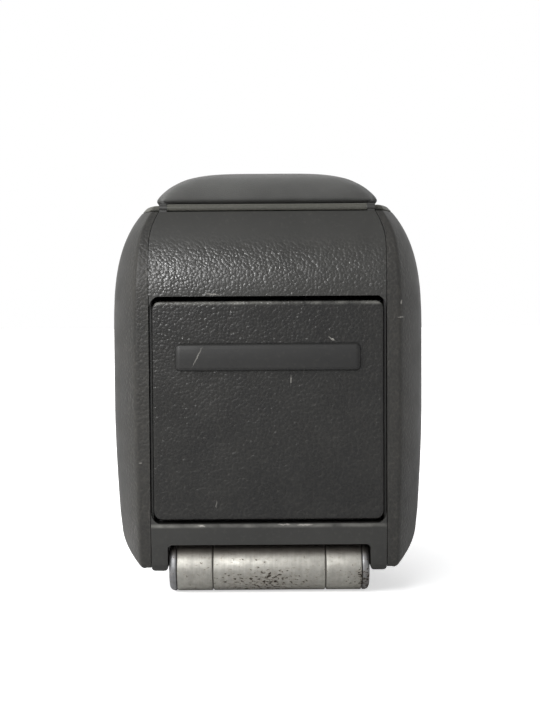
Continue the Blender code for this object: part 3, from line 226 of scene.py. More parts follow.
def add_object(name: str, data: bpy.types.ID) -> Piece:
    """Adds an object to the scene.

    Args:
        name: Its name.
        data: Its mesh, lamp or camera.

    Returns:
        The object.
    """
    made = bpy.data.objects.new(name, data)
    bpy.context.scene.collection.objects.link(made)
    return made


def object_from(name: str, bm: Mesh, finish: Material) -> Piece:
    """Turns a mesh in millimetres into an object of the scene.

    Args:
        name: Name of the object and its mesh.
        bm: The mesh about the barrel axis, which is freed.
        finish: Its material.

    Returns:
        The object, with its place in its mesh.
    """
    bmesh.ops.remove_doubles(bm, verts=bm.verts, dist=0.0005)
    bmesh.ops.recalc_face_normals(bm, faces=bm.faces)
    bmesh.ops.transform(bm, matrix=frame_place(), verts=bm.verts)
    mesh = bpy.data.meshes.new(name)
    bm.to_mesh(mesh)
    bm.free()
    mesh.materials.append(finish)
    mesh.shade_smooth()
    return add_object(name, mesh)


def keep_result(made: Piece) -> None:
    """Replaces an object's mesh by its evaluated one and drops the modifiers.

    Args:
        made: The object.
    """
    graph = bpy.context.evaluated_depsgraph_get()
    graph.update()
    mesh = bpy.data.meshes.new_from_object(made.evaluated_get(graph), depsgraph=graph)
    made.modifiers.clear()
    made.data = mesh


def soften(made: Piece, width: float, count: int = 2, angle: float = 38.0) -> None:
    """Rounds an object's sharp edges.

    Args:
        made: The object.
        width: Width of the rounding in millimetres.
        count: How many steps it has.
        angle: Edges sharper than this many degrees are rounded.
    """
    edge = made.modifiers.new("edge_rounding", "BEVEL")
    edge.width = width * MM
    edge.segments = count
    edge.limit_method = "ANGLE"
    edge.angle_limit = math.radians(angle)
    edge.harden_normals = True


def settle(made: Piece, body: Body, stands_for: tuple[str, ...]) -> None:
    """Hands a piece to its body.

    Args:
        made: The piece.
        body: The body that it rides on.
        stands_for: The CAD nodes that it replaces.
    """
    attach(made, body.value)
    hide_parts(*stands_for)
    LOG.info("%s rides on %s, %d faces", made.name, body.value, len(made.data.polygons))


# ------------------------------------------------------------ material helpers


def linear(code: str) -> tuple[float, float, float, float]:
    """Turns a six digit sRGB code into a linear colour.

    Args:
        code: The code, such as 5e5e5c.

    Returns:
        Red, green, blue and alpha.
    """
    parts = [int(code[i : i + 2], 16) / 255 for i in (0, 2, 4)]
    red, green, blue = (c / 12.92 if c <= 0.04045 else ((c + 0.055) / 1.055) ** 2.4 for c in parts)
    return (red, green, blue, 1.0)


def add_node(
    tree: bpy.types.NodeTree, kind: str, inputs: dict[Any, Any] | None = None, **settings: Any
) -> bpy.types.Node:
    """Adds a node with its settings and links.

    Args:
        tree: The tree that it goes into.
        kind: Its Blender type.
        inputs: For each input, by name or number, a socket to link from or a value.
        **settings: Properties of the node.

    Returns:
        The node.
    """
    node = tree.nodes.new(kind)
    for key, value in settings.items():
        setattr(node, key, value)
    for key, value in (inputs or {}).items():
        if isinstance(value, bpy.types.NodeSocket):
            tree.links.new(value, node.inputs[key])
        else:
            node.inputs[key].default_value = value
    return node


@dataclass(frozen=True)
class Mark:
    """A scratch, nick or rubbed spot on a face that looks to the rear."""

    x: float
    z: float
    length: float
    width: float
    turn: float
    strength: float = 0.6


class Surface:
    """A material in the making, with the patterns that its finish draws from."""

    def __init__(self, name: str, sockets: dict[str, float]) -> None:
        """Starts the material and its place in millimetres from the barrel axis.

        Args:
            name: Its name.
            sockets: Values of the shader's own sockets.
        """
        self.made = bpy.data.materials.new(name)
        self.made.use_nodes = True
        self.tree = self.made.node_tree
        self.shader = self.tree.nodes["Principled BSDF"]
        for key, value in sockets.items():
            self.shader.inputs[key].default_value = value
        place = add_node(self.tree, "ShaderNodeTexCoord").outputs["Object"]
        inputs = {"Vector": place, "Location": (0.0, -AXIS_Y, -AXIS_Z), "Scale": (1000.0, 1000.0, 1000.0)}
        self.place = self.node("ShaderNodeMapping", inputs)

    def node(self, kind: str, inputs: dict[Any, Any], **settings: Any) -> Socket:
        """First output of a new node."""
        return add_node(self.tree, kind, inputs, **settings).outputs[0]

    def maths(self, operation: str, *values: Any, clamp: bool = False) -> Socket:
        """Result of a sum on numbers or value sockets."""
        return self.node("ShaderNodeMath", dict(enumerate(values)), operation=operation, use_clamp=clamp)

    def vector(self, operation: str, *values: Any) -> Socket:
        """Result of a sum on vectors."""
        return self.node("ShaderNodeVectorMath", dict(enumerate(values)), operation=operation)

    def along(self, axis: str, place: Socket | None = None) -> Socket:
        """The place along an axis, of the surface or of another vector."""
        vector = self.place if place is None else place
        return add_node(self.tree, "ShaderNodeSeparateXYZ", {0: vector}).outputs[axis]

    def spread(self, value: Socket, source: Pair, result: Pair = (0.0, 1.0), kind: str = "LINEAR") -> Socket:
        """Carries a number from one span to another and holds it there.

        Args:
            value: The number.
            source: The span that it comes from.
            result: The span that it goes to.
            kind: Blender's name for the way between.

        Returns:
            A value socket.
        """
        spans = dict(zip(("From Min", "From Max", "To Min", "To Max"), source + result))
        return self.node("ShaderNodeMapRange", {"Value": value, **spans}, interpolation_type=kind)

    def band(self, axis: str, start: float, end: float, place: Socket | None = None) -> Socket:
        """A soft step along an axis, from 0 at start to 1 at end."""
        return self.spread(self.along(axis, place), (start, end), kind="SMOOTHSTEP")

    def noise(self, place: Socket, scale: float, detail: float, rough: float = 0.5) -> bpy.types.Node:
        """A noise node."""
        inputs = {"Vector": place, "Scale": scale, "Detail": detail, "Roughness": rough}
        return add_node(self.tree, "ShaderNodeTexNoise", inputs)

    def streaks(self, scale: Point, detail: float, rough: float = 0.5) -> Socket:
        """Noise with its own scale along each axis, per millimetre."""
        drawn = self.node("ShaderNodeMapping", {"Vector": self.place, "Scale": scale})
        return self.noise(drawn, 1.0, detail, rough).outputs[0]

    def cloudy(self, size: float, span: Pair, detail: float = 3.0) -> Socket:
        """A number that drifts over the surface, in clouds of a size in millimetres."""
        return self.spread(self.noise(self.place, 1.0 / size, detail).outputs[0], (0.28, 0.72), span)

    def blend(self, share: Any, first: Any, second: Any) -> Socket:
        """The first colour where the share is 0, the second where it is 1."""
        inputs = {0: share, 6: first, 7: second}
        return add_node(self.tree, "ShaderNodeMix", inputs, data_type="RGBA").outputs[2]

    def marked(self, marks: tuple[Mark, ...]) -> Socket:
        """Gives where the marks are, ragged at their edges.

        Args:
            marks: The marks.

        Returns:
            A value socket from 0 to 1.
        """
        shift = self.vector("SUBTRACT", self.noise(self.place, 0.9, 4.0).outputs["Color"], (0.5, 0.5, 0.5))
        ragged = self.vector("MULTIPLY_ADD", shift, (1.6, 1.6, 1.6), self.place)
        total = None
        for mark in marks:
            inputs = {
                "Vector": ragged,
                "Location": (mark.x, 0.0, mark.z),
                "Rotation": (0.0, -math.radians(mark.turn), 0.0),
                "Scale": (mark.length / 2, 400.0, mark.width / 2),
            }
            local = self.node("ShaderNodeMapping", inputs, vector_type="TEXTURE")
            glow = add_node(self.tree, "ShaderNodeTexGradient", {0: local}, gradient_type="SPHERICAL")
            level = self.spread(glow.outputs[1], (0.02, 0.5), (0.0, mark.strength))
            total = level if total is None else self.maths("MAXIMUM", total, level)
        return total

    def finish(self, tone: Socket, dull: Socket, relief: Socket, depth: float, strength: float) -> Material:
        """Links the patterns to the shader.

        Args:
            tone: Colour.
            dull: Roughness.
            relief: Height of the relief, in parts of its depth.
            depth: Depth of the relief in millimetres.
            strength: How much of it shows.

        Returns:
            The material.
        """
        bump = self.node("ShaderNodeBump", {"Height": relief, "Strength": strength, "Distance": depth * MM})
        for key, socket in (("Base Color", tone), ("Roughness", dull), ("Normal", bump)):
            self.tree.links.new(socket, self.shader.inputs[key])
        return self.made


# --------------------------------------------------------------------- finishes


@dataclass(frozen=True)
class MouldedPlastic:
    """Injection moulded polypropylene, dull and slightly dusty, with a leather grain from its mould.

    The grain cells are about 2 mm wide on the real armrest. They catch small glints. The grain fades
    below smooth_below and above smooth_above, inside the bar (half width, low, high), and on the
    flanks, forward of flank. Marks show the paler bare plastic. So does the edge band (low, high),
    which is rubbed plastic with a painted highlight along a rounded edge.
    """

    name: str
    colour: str
    dust: str
    roughness: float = 0.29
    cell: float = 1.75
    depth: float = 0.115
    gloss: float = 0.36
    smooth_below: float | None = None
    smooth_above: float | None = None
    bar: Point | None = None
    flank: float | None = None
    marks: tuple[Mark, ...] = ()
    edge_wear_and_highlight: Pair | None = None

    def grained(self, at: Surface) -> Socket | float:
        """Gives how strongly the grain shows over the surface.

        Args:
            at: The material in the making.

        Returns:
            A value socket from 0 to 1, or 1.0 where it shows all over.
        """
        share: Socket | float = 1.0
        if self.smooth_below is not None:
            share = at.band("Z", self.smooth_below - 1, self.smooth_below + 1)
        if self.smooth_above is not None:
            share = at.maths("MULTIPLY", share, at.band("Z", self.smooth_above, self.smooth_above - 14))
        if self.bar is not None:
            half, low, high = self.bar
            out_x = at.band("X", half - 0.4, half + 0.4, at.vector("ABSOLUTE", at.place))
            over, under = at.band("Z", high - 0.4, high + 0.4), at.band("Z", low + 0.4, low - 0.4)
            share = at.maths("MAXIMUM", out_x, at.maths("MAXIMUM", over, under))
        if self.flank is not None:
            rear = at.band("Y", self.flank + 14, self.flank - 6)
            share = at.maths("MULTIPLY_ADD", rear, 0.75, 0.25)
        return share

    def make(self) -> Material:
        """Builds the material.

        Returns:
            The material.
        """
        at = Surface(self.name, {"IOR": 1.49, "Specular IOR Level": self.gloss})
        # Domed cells with bent borders, and a fine roughness of 0.8 mm over them
        wobble = at.noise(at.place, 0.55, 2.0).outputs["Color"]
        bent = at.vector("MULTIPLY_ADD", wobble, (1.1, 1.1, 1.1), at.place)
        reach = at.node("ShaderNodeTexVoronoi", {"Vector": bent, "Scale": 1.0 / self.cell}, feature="F1")
        dome = at.maths("MULTIPLY_ADD", at.maths("POWER", reach, 2.0), -1.6, 1.0)
        fine = at.cloudy(0.8, (0.0, 0.12))
        share = self.grained(at)
        height = at.maths("MULTIPLY", at.maths("ADD", dome, fine), share)
        relief = at.maths("MULTIPLY_ADD", fine, 0.5, height)

        # Dust lies in patches of 34 mm, in the cells' borders and as specks of 2.6 mm
        worn = linear(self.dust)
        patches = at.cloudy(34.0, (0.0, 0.3))
        hold = at.maths("MULTIPLY", at.maths("MULTIPLY_ADD", dome, -0.35, 0.35), share)
        tone = at.blend(at.maths("ADD", patches, hold, clamp=True), linear(self.colour), worn)
        tone = at.blend(at.maths("MAXIMUM", at.cloudy(2.6, (-0.6, 0.35), 6.0), 0.0), tone, worn)
        # A pale band along a rounded edge: rubbed bare plastic, and a painted highlight where the edge
        # catches the light
        if self.edge_wear_and_highlight is not None:
            low, high = self.edge_wear_and_highlight
            middle = (low + high) / 2
            line = at.maths("MULTIPLY", at.band("Z", low, middle), at.band("Z", high, middle))
            rub = at.maths("MULTIPLY", line, at.cloudy(9.0, (0.05, 0.75), 5.0))
            tone = at.blend(rub, tone, linear("8d8c86"))
        if self.marks:
            tone = at.blend(at.marked(self.marks), tone, linear("b4b1aa"))
        # The grain gives small glints; the smooth parts between are duller
        drift = at.cloudy(18.0, (self.roughness + 0.12, self.roughness + 0.26))
        dull = at.maths("MULTIPLY_ADD", share, -0.18, drift)
        return at.finish(tone, dull, relief, self.depth, 1.0)


@dataclass(frozen=True)
class SilverPaint:
    """Satin silver lacquer over steel, scuffed down to dark metal where the sleeves rub.

    The spray gives fine rings round the barrel, about 0.5 mm apart on the real one. They are drawn
    1.2 mm apart so that they show.
    """

    name: str
    colour: str
    pits: float
    roughness: float = 0.5

    def crowded(self, at: Surface) -> Socket:
        """Gives how much more the chips crowd together low in the middle and at the right end.

        Args:
            at: The material in the making.

        Returns:
            A value socket.
        """
        low = at.band("Z", 3.5, -5.0)
        off = at.maths("ABSOLUTE", at.maths("SUBTRACT", at.along("X"), -3.0))
        middle = at.spread(off, (34.0, 4.0), (0.0, 0.12))
        ends = at.maths("MULTIPLY_ADD", at.band("X", 44.0, 58.0), 0.15, middle)
        return at.maths("MULTIPLY", ends, low)

    def make(self) -> Material:
        """Builds the material.

        Returns:
            The material.
        """
        at = Surface(self.name, {"Metallic": 0.75, "IOR": 1.5})
        rings = at.streaks((0.85, 0.02, 0.02), 5.0)
        both = at.maths("MULTIPLY_ADD", rings, 0.7, at.cloudy(3.2, (0.0, 0.6), 6.0))
        light = linear(self.colour)
        tone = at.blend(both, light, (*(c * 0.62 for c in light[:3]), 1.0))

        # Chips about 2 mm long and nicks across, each chip with a stained rim
        raised = at.maths("ADD", at.streaks((0.42, 0.75, 0.75), 8.0, 0.62), self.crowded(at))
        bare = at.spread(raised, (0.70 - self.pits, 0.735 - self.pits), kind="SMOOTHSTEP")
        scraped = at.spread(at.streaks((1.3, 0.35, 0.35), 6.0, 0.7), (0.665, 0.69), (0.0, 0.8))
        bare = at.maths("MAXIMUM", bare, scraped)
        stain = at.spread(raised, (0.60 - self.pits, 0.72 - self.pits), (0.0, 0.4))
        tone = at.blend(stain, tone, linear("857a6c"))
        tone = at.blend(bare, tone, linear("3a332d"))
        # Painted shadow on the crown, where the lower strip overhangs it
        strip_shadow = at.maths("MULTIPLY", at.band("Z", 6.0, 11.5), 0.8)
        tone = at.blend(strip_shadow, tone, linear("57504a"))

        polish = at.cloudy(7.0, (self.roughness - 0.06, self.roughness + 0.1), 5.0)
        dull = at.maths("MULTIPLY_ADD", bare, 0.3, polish)
        # Chips are sunk into the paint, which has a fine peel and its rings
        sunk = at.maths("MULTIPLY_ADD", bare, -1.0, 1.0)
        peel = at.maths("ADD", sunk, at.cloudy(1.1, (0.0, 0.35), 5.0))
        relief = at.maths("MULTIPLY_ADD", rings, 0.25, peel)
        return at.finish(tone, dull, relief, 0.12, 0.7)


@dataclass(frozen=True)
class Leatherette:
    """Vinyl cover cloth with an embossed skin, soft to the touch, a little shiny where arms rest.

    Its pores are about 0.6 mm apart. They are drawn 1.1 mm apart so that they show.
    """

    name: str
    colour: str
    shade: str
    seam_z: float
    pore: float = 1.1

    def make(self) -> Material:
        """Builds the material.

        Returns:
            The material.
        """
        sockets = {"IOR": 1.46, "Specular IOR Level": 0.2, "Sheen Weight": 0.12, "Sheen Roughness": 0.45}
        at = Surface(self.name, sockets)
        inputs = {"Vector": at.place, "Scale": 1 / self.pore}
        cells = at.node("ShaderNodeTexVoronoi", inputs, feature="DISTANCE_TO_EDGE")
        relief = at.maths("ADD", at.spread(cells, (0.0, 0.2)), at.cloudy(5.0, (0.0, 1.2), 5.0))
        # Painted shade in the fold at its foot, over clouds of darker tone
        seam = at.band("Z", self.seam_z + 5.0, self.seam_z)
        fold_shade_and_tone = at.maths("MULTIPLY_ADD", seam, 0.6, at.cloudy(26.0, (0.0, 0.35)))
        tone = at.blend(fold_shade_and_tone, linear(self.colour), linear(self.shade))
        return at.finish(tone, at.cloudy(12.0, (0.62, 0.72)), relief, 0.1, 0.6)


@dataclass(frozen=True)
class Metal:
    """Sheet, bar or plated steel with the streaks of its making and a few dull patches."""

    name: str
    colour: str
    shade: str
    roughness: float
    metallic: float
    streak: Point
    depth: float

    def make(self) -> Material:
        """Builds the material.

        Returns:
            The material.
        """
        at = Surface(self.name, {"Metallic": self.metallic})
        lines = at.streaks(self.streak, 6.0)
        mixed = at.maths("MULTIPLY", lines, at.cloudy(11.0, (0.0, 0.6), 5.0))
        tone = at.blend(mixed, linear(self.colour), linear(self.shade))
        dull = at.cloudy(5.0, (self.roughness - 0.05, self.roughness + 0.12))
        return at.finish(tone, dull, lines, self.depth, 0.6)


class Finishes:
    """All the finishes of the armrest, each made once."""

    frame_marks = (
        Mark(-39.4, 26.4, 5.0, 1.4, 0.0, 0.8),
        Mark(9.0, 26.9, 9.0, 1.0, 0.0, 0.7),
        Mark(21.0, 26.7, 11.0, 1.2, 2.0, 0.8),
        Mark(-32.0, 161.6, 9.0, 1.0, -4.0, 0.5),
    )
    flap_marks = (
        Mark(-40.9, 125.4, 15.0, 0.9, 63.0, 0.42),
        Mark(37.1, 135.4, 5.0, 1.1, -36.0, 0.6),
        Mark(13.3, 112.0, 6.5, 0.9, 86.0, 0.4),
        Mark(-30.7, 39.0, 6.0, 0.9, 88.0, 0.2),
    )
    cheek_marks = (
        Mark(77.7, 156.5, 3.0, 1.2, 80.0, 0.55),
        Mark(77.4, 147.7, 4.5, 0.9, 5.0, 0.45),
        Mark(-74.8, 63.6, 1.8, 1.4, 0.0, 0.4),
    )

    def __init__(self) -> None:
        """Makes the materials."""
        # Charcoal polypropylene: the hood glints finely, and the rails below are smooth and matt.
        # The lower strip's top edge gets a pale band of wear with a painted highlight
        self.frame = MouldedPlastic(
            "moulded_polypropylene_frame", "282826", "403f3c", smooth_below=160.0, smooth_above=200.0,
            marks=self.frame_marks, edge_wear_and_highlight=(24.6, 28.0),
        ).make()
        # The same plastic in a darker batch: a soft leather grain round a smooth polished bar.
        # Its top edge gets a pale band of wear with a painted highlight
        self.flap = MouldedPlastic(
            "moulded_polypropylene_flap", "202020", "373633", depth=0.12, gloss=0.24,
            bar=(54.0, 117.0, 133.2), marks=self.flap_marks, edge_wear_and_highlight=(154.8, 158.2),
        ).make()
        # Cheek shells: fine grained at the rear, smoother and dull on the flanks
        self.cheek = MouldedPlastic(
            "moulded_polypropylene_cheek", "2f2f2e", "484642", depth=0.1, flank=-6.0, marks=self.cheek_marks,
            gloss=0.18, roughness=0.36,
        ).make()
        # Underside: an even, slightly paler grain that nobody polishes
        self.underside = MouldedPlastic(
            "moulded_polypropylene_underside", "2a2a29", "484744", depth=0.1, cell=1.4
        ).make()
        # Bin and lid panel: very dull, with dust in patches, in the grain and as specks
        self.bin = MouldedPlastic(
            "moulded_abs_bin", "262627", "4a4a49", depth=0.06, cell=1.0, roughness=0.58
        ).make()
        # Housing behind the flap: the dullest and darkest, a plain hole to the eye
        self.housing = MouldedPlastic(
            "moulded_abs_housing", "202022", "434343", depth=0.05, cell=1.0, roughness=0.6
        ).make()
        # Cup tray: a little shinier, as cups rub it
        self.tray = MouldedPlastic(
            "moulded_abs_tray", "2a2a2b", "50504e", depth=0.05, cell=0.9, roughness=0.46
        ).make()
        # Lid frame: the paler, nearly smooth line between hood and cushion
        self.lid = MouldedPlastic(
            "moulded_abs_lid_frame", "4b4b46", "605f58", depth=0.04, cell=0.9, roughness=0.5, gloss=0.2
        ).make()
        # Latch: smooth and slightly shiny from fingers
        self.latch = MouldedPlastic(
            "moulded_abs_latch", "303030", "575653", depth=0.03, cell=0.8, roughness=0.4
        ).make()
        # Mat: dull black rubber, powdery in its pores
        self.mat = MouldedPlastic(
            "moulded_rubber_mat", "19191a", "3d3c3a", roughness=0.78, depth=0.08, cell=0.9, gloss=0.25
        ).make()
        # Foam backed vinyl: soft, even grey with a faint bloom, and painted shade along its foot
        self.vinyl = Leatherette("embossed_vinyl_cover", "585856", "3a3a39", 214.0).make()
        # Silver lacquer: a bright band along the barrel, with painted shadow on its crown above it and chips
        # and stains below it
        self.silver = SilverPaint("sprayed_silver_lacquer", "acaaa3", 0.055).make()
        # The end caps: the same lacquer, darker with handling
        self.silver_cap = SilverPaint("sprayed_silver_lacquer_cap", "8d8d8e", 0.055, 0.46).make()
        # Black enamel: satin, with faint brush lines
        brushed, clouded, turned = (0.3, 0.3, 0.3), (0.8, 0.8, 0.8), (1.2, 0.05, 0.05)
        self.enamel = Metal("black_enamelled_steel", "2c2c2d", "4b4945", 0.42, 0.0, brushed, 0.04).make()
        # Zinc: pale, clouded metal on screws and pins
        self.zinc = Metal("zinc_plated_steel", "9fa1a0", "77766f", 0.32, 1.0, clouded, 0.03).make()
        # Ground shaft: the brightest metal, with fine rings
        self.shaft = Metal("ground_bright_steel", "b4b5b6", "8d8d8c", 0.22, 1.0, turned, 0.02).make()
        # Bushes: cream nylon with a waxy shine
        self.nylon = MouldedPlastic(
            "moulded_natural_nylon", "cfcbbd", "a39f90", roughness=0.42, depth=0.02, cell=0.8
        ).make()


# ------------------------------------------------------------------- the form


@dataclass(frozen=True)
class ShellForm:
    """The armrest's outer form, which the cheeks, the hood, the cover and the lid share."""

    rear_y: float = -14.0
    front_y: float = 316.0
    half: float = 93.5
    rim_z: float = 210.2
    seam: float = 69.3
    seam_draw: float = 5.5
    seam_draw_z: float = 190.0
    dome_z: float = 134.0
    dome_height: float = 99.0
    taper_z: float = 91.0
    taper_height: float = 75.0
    taper_depth: float = 3.6
    roll_z: float = 160.4
    roll_radius: float = 100.0
    under_start: float = -1.0
    under_slope: float = 0.52
    under_bend: float = 2500.0
    facet: float = 0.322
    crease_cut: float = 0.05
    rear_blend: float = 39.0
    front_blend: float = 45.0
    end_fade: float = 60.0
    gap: float = 0.3
    facet_steps: int = 7
    crease_steps: int = 6
    blend_steps: int = 16
    flank_steps: int = 24
    nose_steps: int = 18

    def seam_x(self, z: float) -> float:
        """Half width of the seam at a height."""
        rise = max(0.0, z - self.seam_draw_z) / (self.rim_z - self.seam_draw_z)
        return self.seam - self.seam_draw * rise**2

    def half_width(self, z: float) -> float:
        """Gives the half width of the cheeks.

        Args:
            z: The height.

        Returns:
            The half width there.
        """
        dome = max(0.0, z - self.dome_z) / self.dome_height
        taper = max(0.0, self.taper_z - z) / self.taper_height
        return self.half * (1 - dome**3) ** (1 / 3) - self.taper_depth * taper**1.5

    def end_roll(self, z: float) -> float:
        """How far the ends roll inwards at a height."""
        rise = max(0.0, z - self.roll_z)
        return self.roll_radius - math.sqrt(self.roll_radius**2 - rise**2)

    def under_z(self, y: float) -> float:
        """Height of the underside."""
        run = y - self.rear_y
        return self.under_start + self.under_slope * run - run**2 / self.under_bend

    def columns(self) -> list[Pair]:
        """Places round one cheek, from the rear seam to the front seam.

        Returns:
            Pairs of the share of the cheek's width and the place along Y.
        """
        cut, facet, rear, run = self.crease_cut, self.facet, self.rear_y, self.rear_blend
        rise = 1 - facet
        start = (facet - cut, rear)
        end = (facet + rise * (1 - (1 - cut) ** 2), rear + run * cut)
        # The flat facet, the eased crease beside it and the blend into the flank
        places = [(share, rear) for share in steps(0.0, facet - cut, self.facet_steps)[:-1]]
        for t in steps(0.0, 1.0, self.crease_steps):
            a, b, c = (1 - t) ** 2, 2 * t * (1 - t), t * t
            places.append((a * start[0] + b * facet + c * end[0], a * start[1] + b * rear + c * end[1]))
        for t in steps(cut, 1.0, self.blend_steps)[1:]:
            places.append((facet + rise * (1 - (1 - t) ** 2), rear + run * t))
        # The straight flank and the round nose
        turn = self.front_y - self.front_blend
        places += [(1.0, y) for y in steps(rear + run, turn, self.flank_steps)[1:]]
        for angle in steps(0.0, QUARTER, self.nose_steps)[1:]:
            places.append((math.cos(angle), turn + self.front_blend * math.sin(angle)))
        return places

    def plan_point(self, column: Pair, half: float, seam: float, rear: float, front: float) -> Pair:
        """Places one column of the plan.

        Args:
            column: Share of the width, and place along Y.
            half: Half width of the cheeks there.
            seam: Half width of the seam there.
            rear: Where the rear end is.
            front: Where the front end is.

        Returns:
            X and Y.
        """
        share, y = column
        rear_fade = max(0.0, 1 - (y - self.rear_y) / self.end_fade)
        front_fade = max(0.0, 1 - (self.front_y - y) / self.end_fade)
        moved = y + (rear - self.rear_y) * rear_fade + (front - self.front_y) * front_fade
        return seam + (half - seam) * share, moved

    def shell_point(self, column: Pair, z: float) -> Pair:
        """X and Y of a column at a height."""
        rear, front = self.rear_y + self.end_roll(z), self.front_y - self.end_roll(z)
        return self.plan_point(column, self.half_width(z), self.seam_x(z), rear, front)

    def loop(self, z: float, inset: float) -> list[Point]:
        """The whole outline at a height, drawn in all round.

        Args:
            z: The height.
            inset: How far it is drawn in.

        Returns:
            The outline's points.
        """
        side = [self.shell_point(column, z) for column in self.columns()]
        outline = [Vector(p) for p in side] + [Vector((-x, y)) for x, y in reversed(side)]
        made = []
        for i, here in enumerate(outline):
            along = (outline[(i + 1) % len(outline)] - outline[i - 1]).normalized()
            made.append((here.x - along.y * inset, here.y + along.x * inset, z))
        return made


# ------------------------------------------------------------- sub-assemblies


@dataclass
class CheekShells:
    """The two side shells, with their rounded lower edge and domed top."""

    form: ShellForm
    finishes: Finishes
    skin: float = 2.5
    edge_round: float = 6.0
    calm_length: float = 11.0
    lip: float = 0.7
    floor_steps: int = 4
    curl_steps: int = 8
    wall_steps: int = 14
    dome_steps: int = 26

    def curls(self, low: list[Vector], lengths: list[float]) -> Grid:
        """Rounds the lower edge.

        The edge turns sharply at the crease. Its normals are taken over the calm length, as the
        rounded strips of neighbouring points would cross otherwise.

        Args:
            low: Plan of the edge.
            lengths: How far along it each point lies.

        Returns:
            For each point the rounding, from the underside out to the side.
        """
        made = []
        last = len(low) - 1
        for i, here in enumerate(low):
            reach = min(self.calm_length, max(lengths[i], 0.01), max(lengths[-1] - lengths[i], 0.01))
            before = max(k for k in range(last + 1) if k == 0 or lengths[k] < lengths[i] - reach + 0.005)
            after = min(k for k in range(last + 1) if k == last or lengths[k] > lengths[i] + reach - 0.005)
            along = (low[after] - low[before]).normalized()
            normal = Vector((along.y, -along.x))
            if i in (0, last):
                normal = Vector((0, 1 if i else -1))
            curl = []
            for back, up in rounding(1.0, self.curl_steps, falling=True):
                spot = here - normal * self.edge_round * back
                curl.append((spot.x, spot.y, self.form.under_z(spot.y) + self.edge_round * up))
            made.append(curl)
        return made

    def rows(self) -> Grid:
        """Gives the outer surface of the right cheek.

        Returns:
            Rows of points, from the seam of the underside up to the rim.
        """
        form = self.form
        columns = form.columns()
        low = []
        for column in columns:
            half = form.half_width(form.under_z(column[1]))
            low.append(Vector(form.plan_point(column, half, form.seam, form.rear_y, form.front_y)))
        lengths = [0.0]
        for a, b in zip(low, low[1:]):
            lengths.append(lengths[-1] + (b - a).length)
        curls = self.curls(low, lengths)
        first, last = curls[0][0][1], curls[-1][0][1]
        floor = [first + (last - first) * length / lengths[-1] for length in lengths]
        made = []
        for t in steps(0.0, 1.0, self.floor_steps)[:-1]:
            row = []
            for y, curl in zip(floor, curls):
                x, there, _ = curl[0]
                at = y + (there - y) * t
                row.append((form.seam + (x - form.seam) * t, at, form.under_z(at)))
            made.append(row)
        made += [list(row) for row in zip(*curls)]
        for t in steps(0.0, 1.0, self.wall_steps)[1:]:
            heights = [curl[-1][2] + (form.roll_z - curl[-1][2]) * t for curl in curls]
            made.append([(*form.shell_point(c, z), z) for c, z in zip(columns, heights)])
        for z in steps(form.roll_z, form.rim_z, self.dome_steps)[1:]:
            made.append([(*form.shell_point(c, z), z) for c in columns])
        return made

    def thicken(self, bm: Mesh, side: int) -> None:
        """Gives the outer surface its inside, with square edges at the seam and the rim.

        Args:
            bm: The mesh with the outer surface.
            side: 1 for the right cheek, -1 for the left.
        """
        inner = {}
        for vertex in list(bm.verts):
            normal = vertex.normal.copy()
            on_seam = side * vertex.co.x < self.form.seam_x(vertex.co.z) + 0.01
            if on_seam:
                normal.x = 0
            if vertex.co.z > self.form.rim_z - 0.01:
                normal.z = 0
            spot = vertex.co - normal.normalized() * self.skin
            seam = self.form.seam_x(spot.z)
            spot.x = side * (seam if on_seam else max(seam, side * spot.x))
            inner[vertex] = bm.verts.new(spot)
        for face in list(bm.faces):
            for loop in face.loops:
                if loop.edge.is_boundary:
                    a, b = loop.vert, loop.link_loop_next.vert
                    bm.faces.new((b, a, inner[a], inner[b]))
            bm.faces.new([inner[v] for v in reversed(face.verts)])

    def build(self) -> None:
        """Builds both cheeks."""
        for side, word in ((1, "right"), (-1, "left")):
            bm = bmesh.new()
            grid = [[bm.verts.new((side * x, y, z)) for x, y, z in row] for row in self.rows()]
            for low, high in zip(grid, grid[1:]):
                for i in range(len(low) - 1):
                    corners = (low[i], low[i + 1], high[i + 1], high[i])
                    bm.faces.new(corners if side > 0 else corners[::-1])
            bmesh.ops.remove_doubles(bm, verts=bm.verts, dist=0.01)
            bm.normal_update()
            self.thicken(bm, side)
            made = object_from(f"{word}_cheek_shell", bm, self.finishes.cheek)
            soften(made, self.lip, 3)
            settle(made, Body.ARMREST, (f"{word}_cheek",))


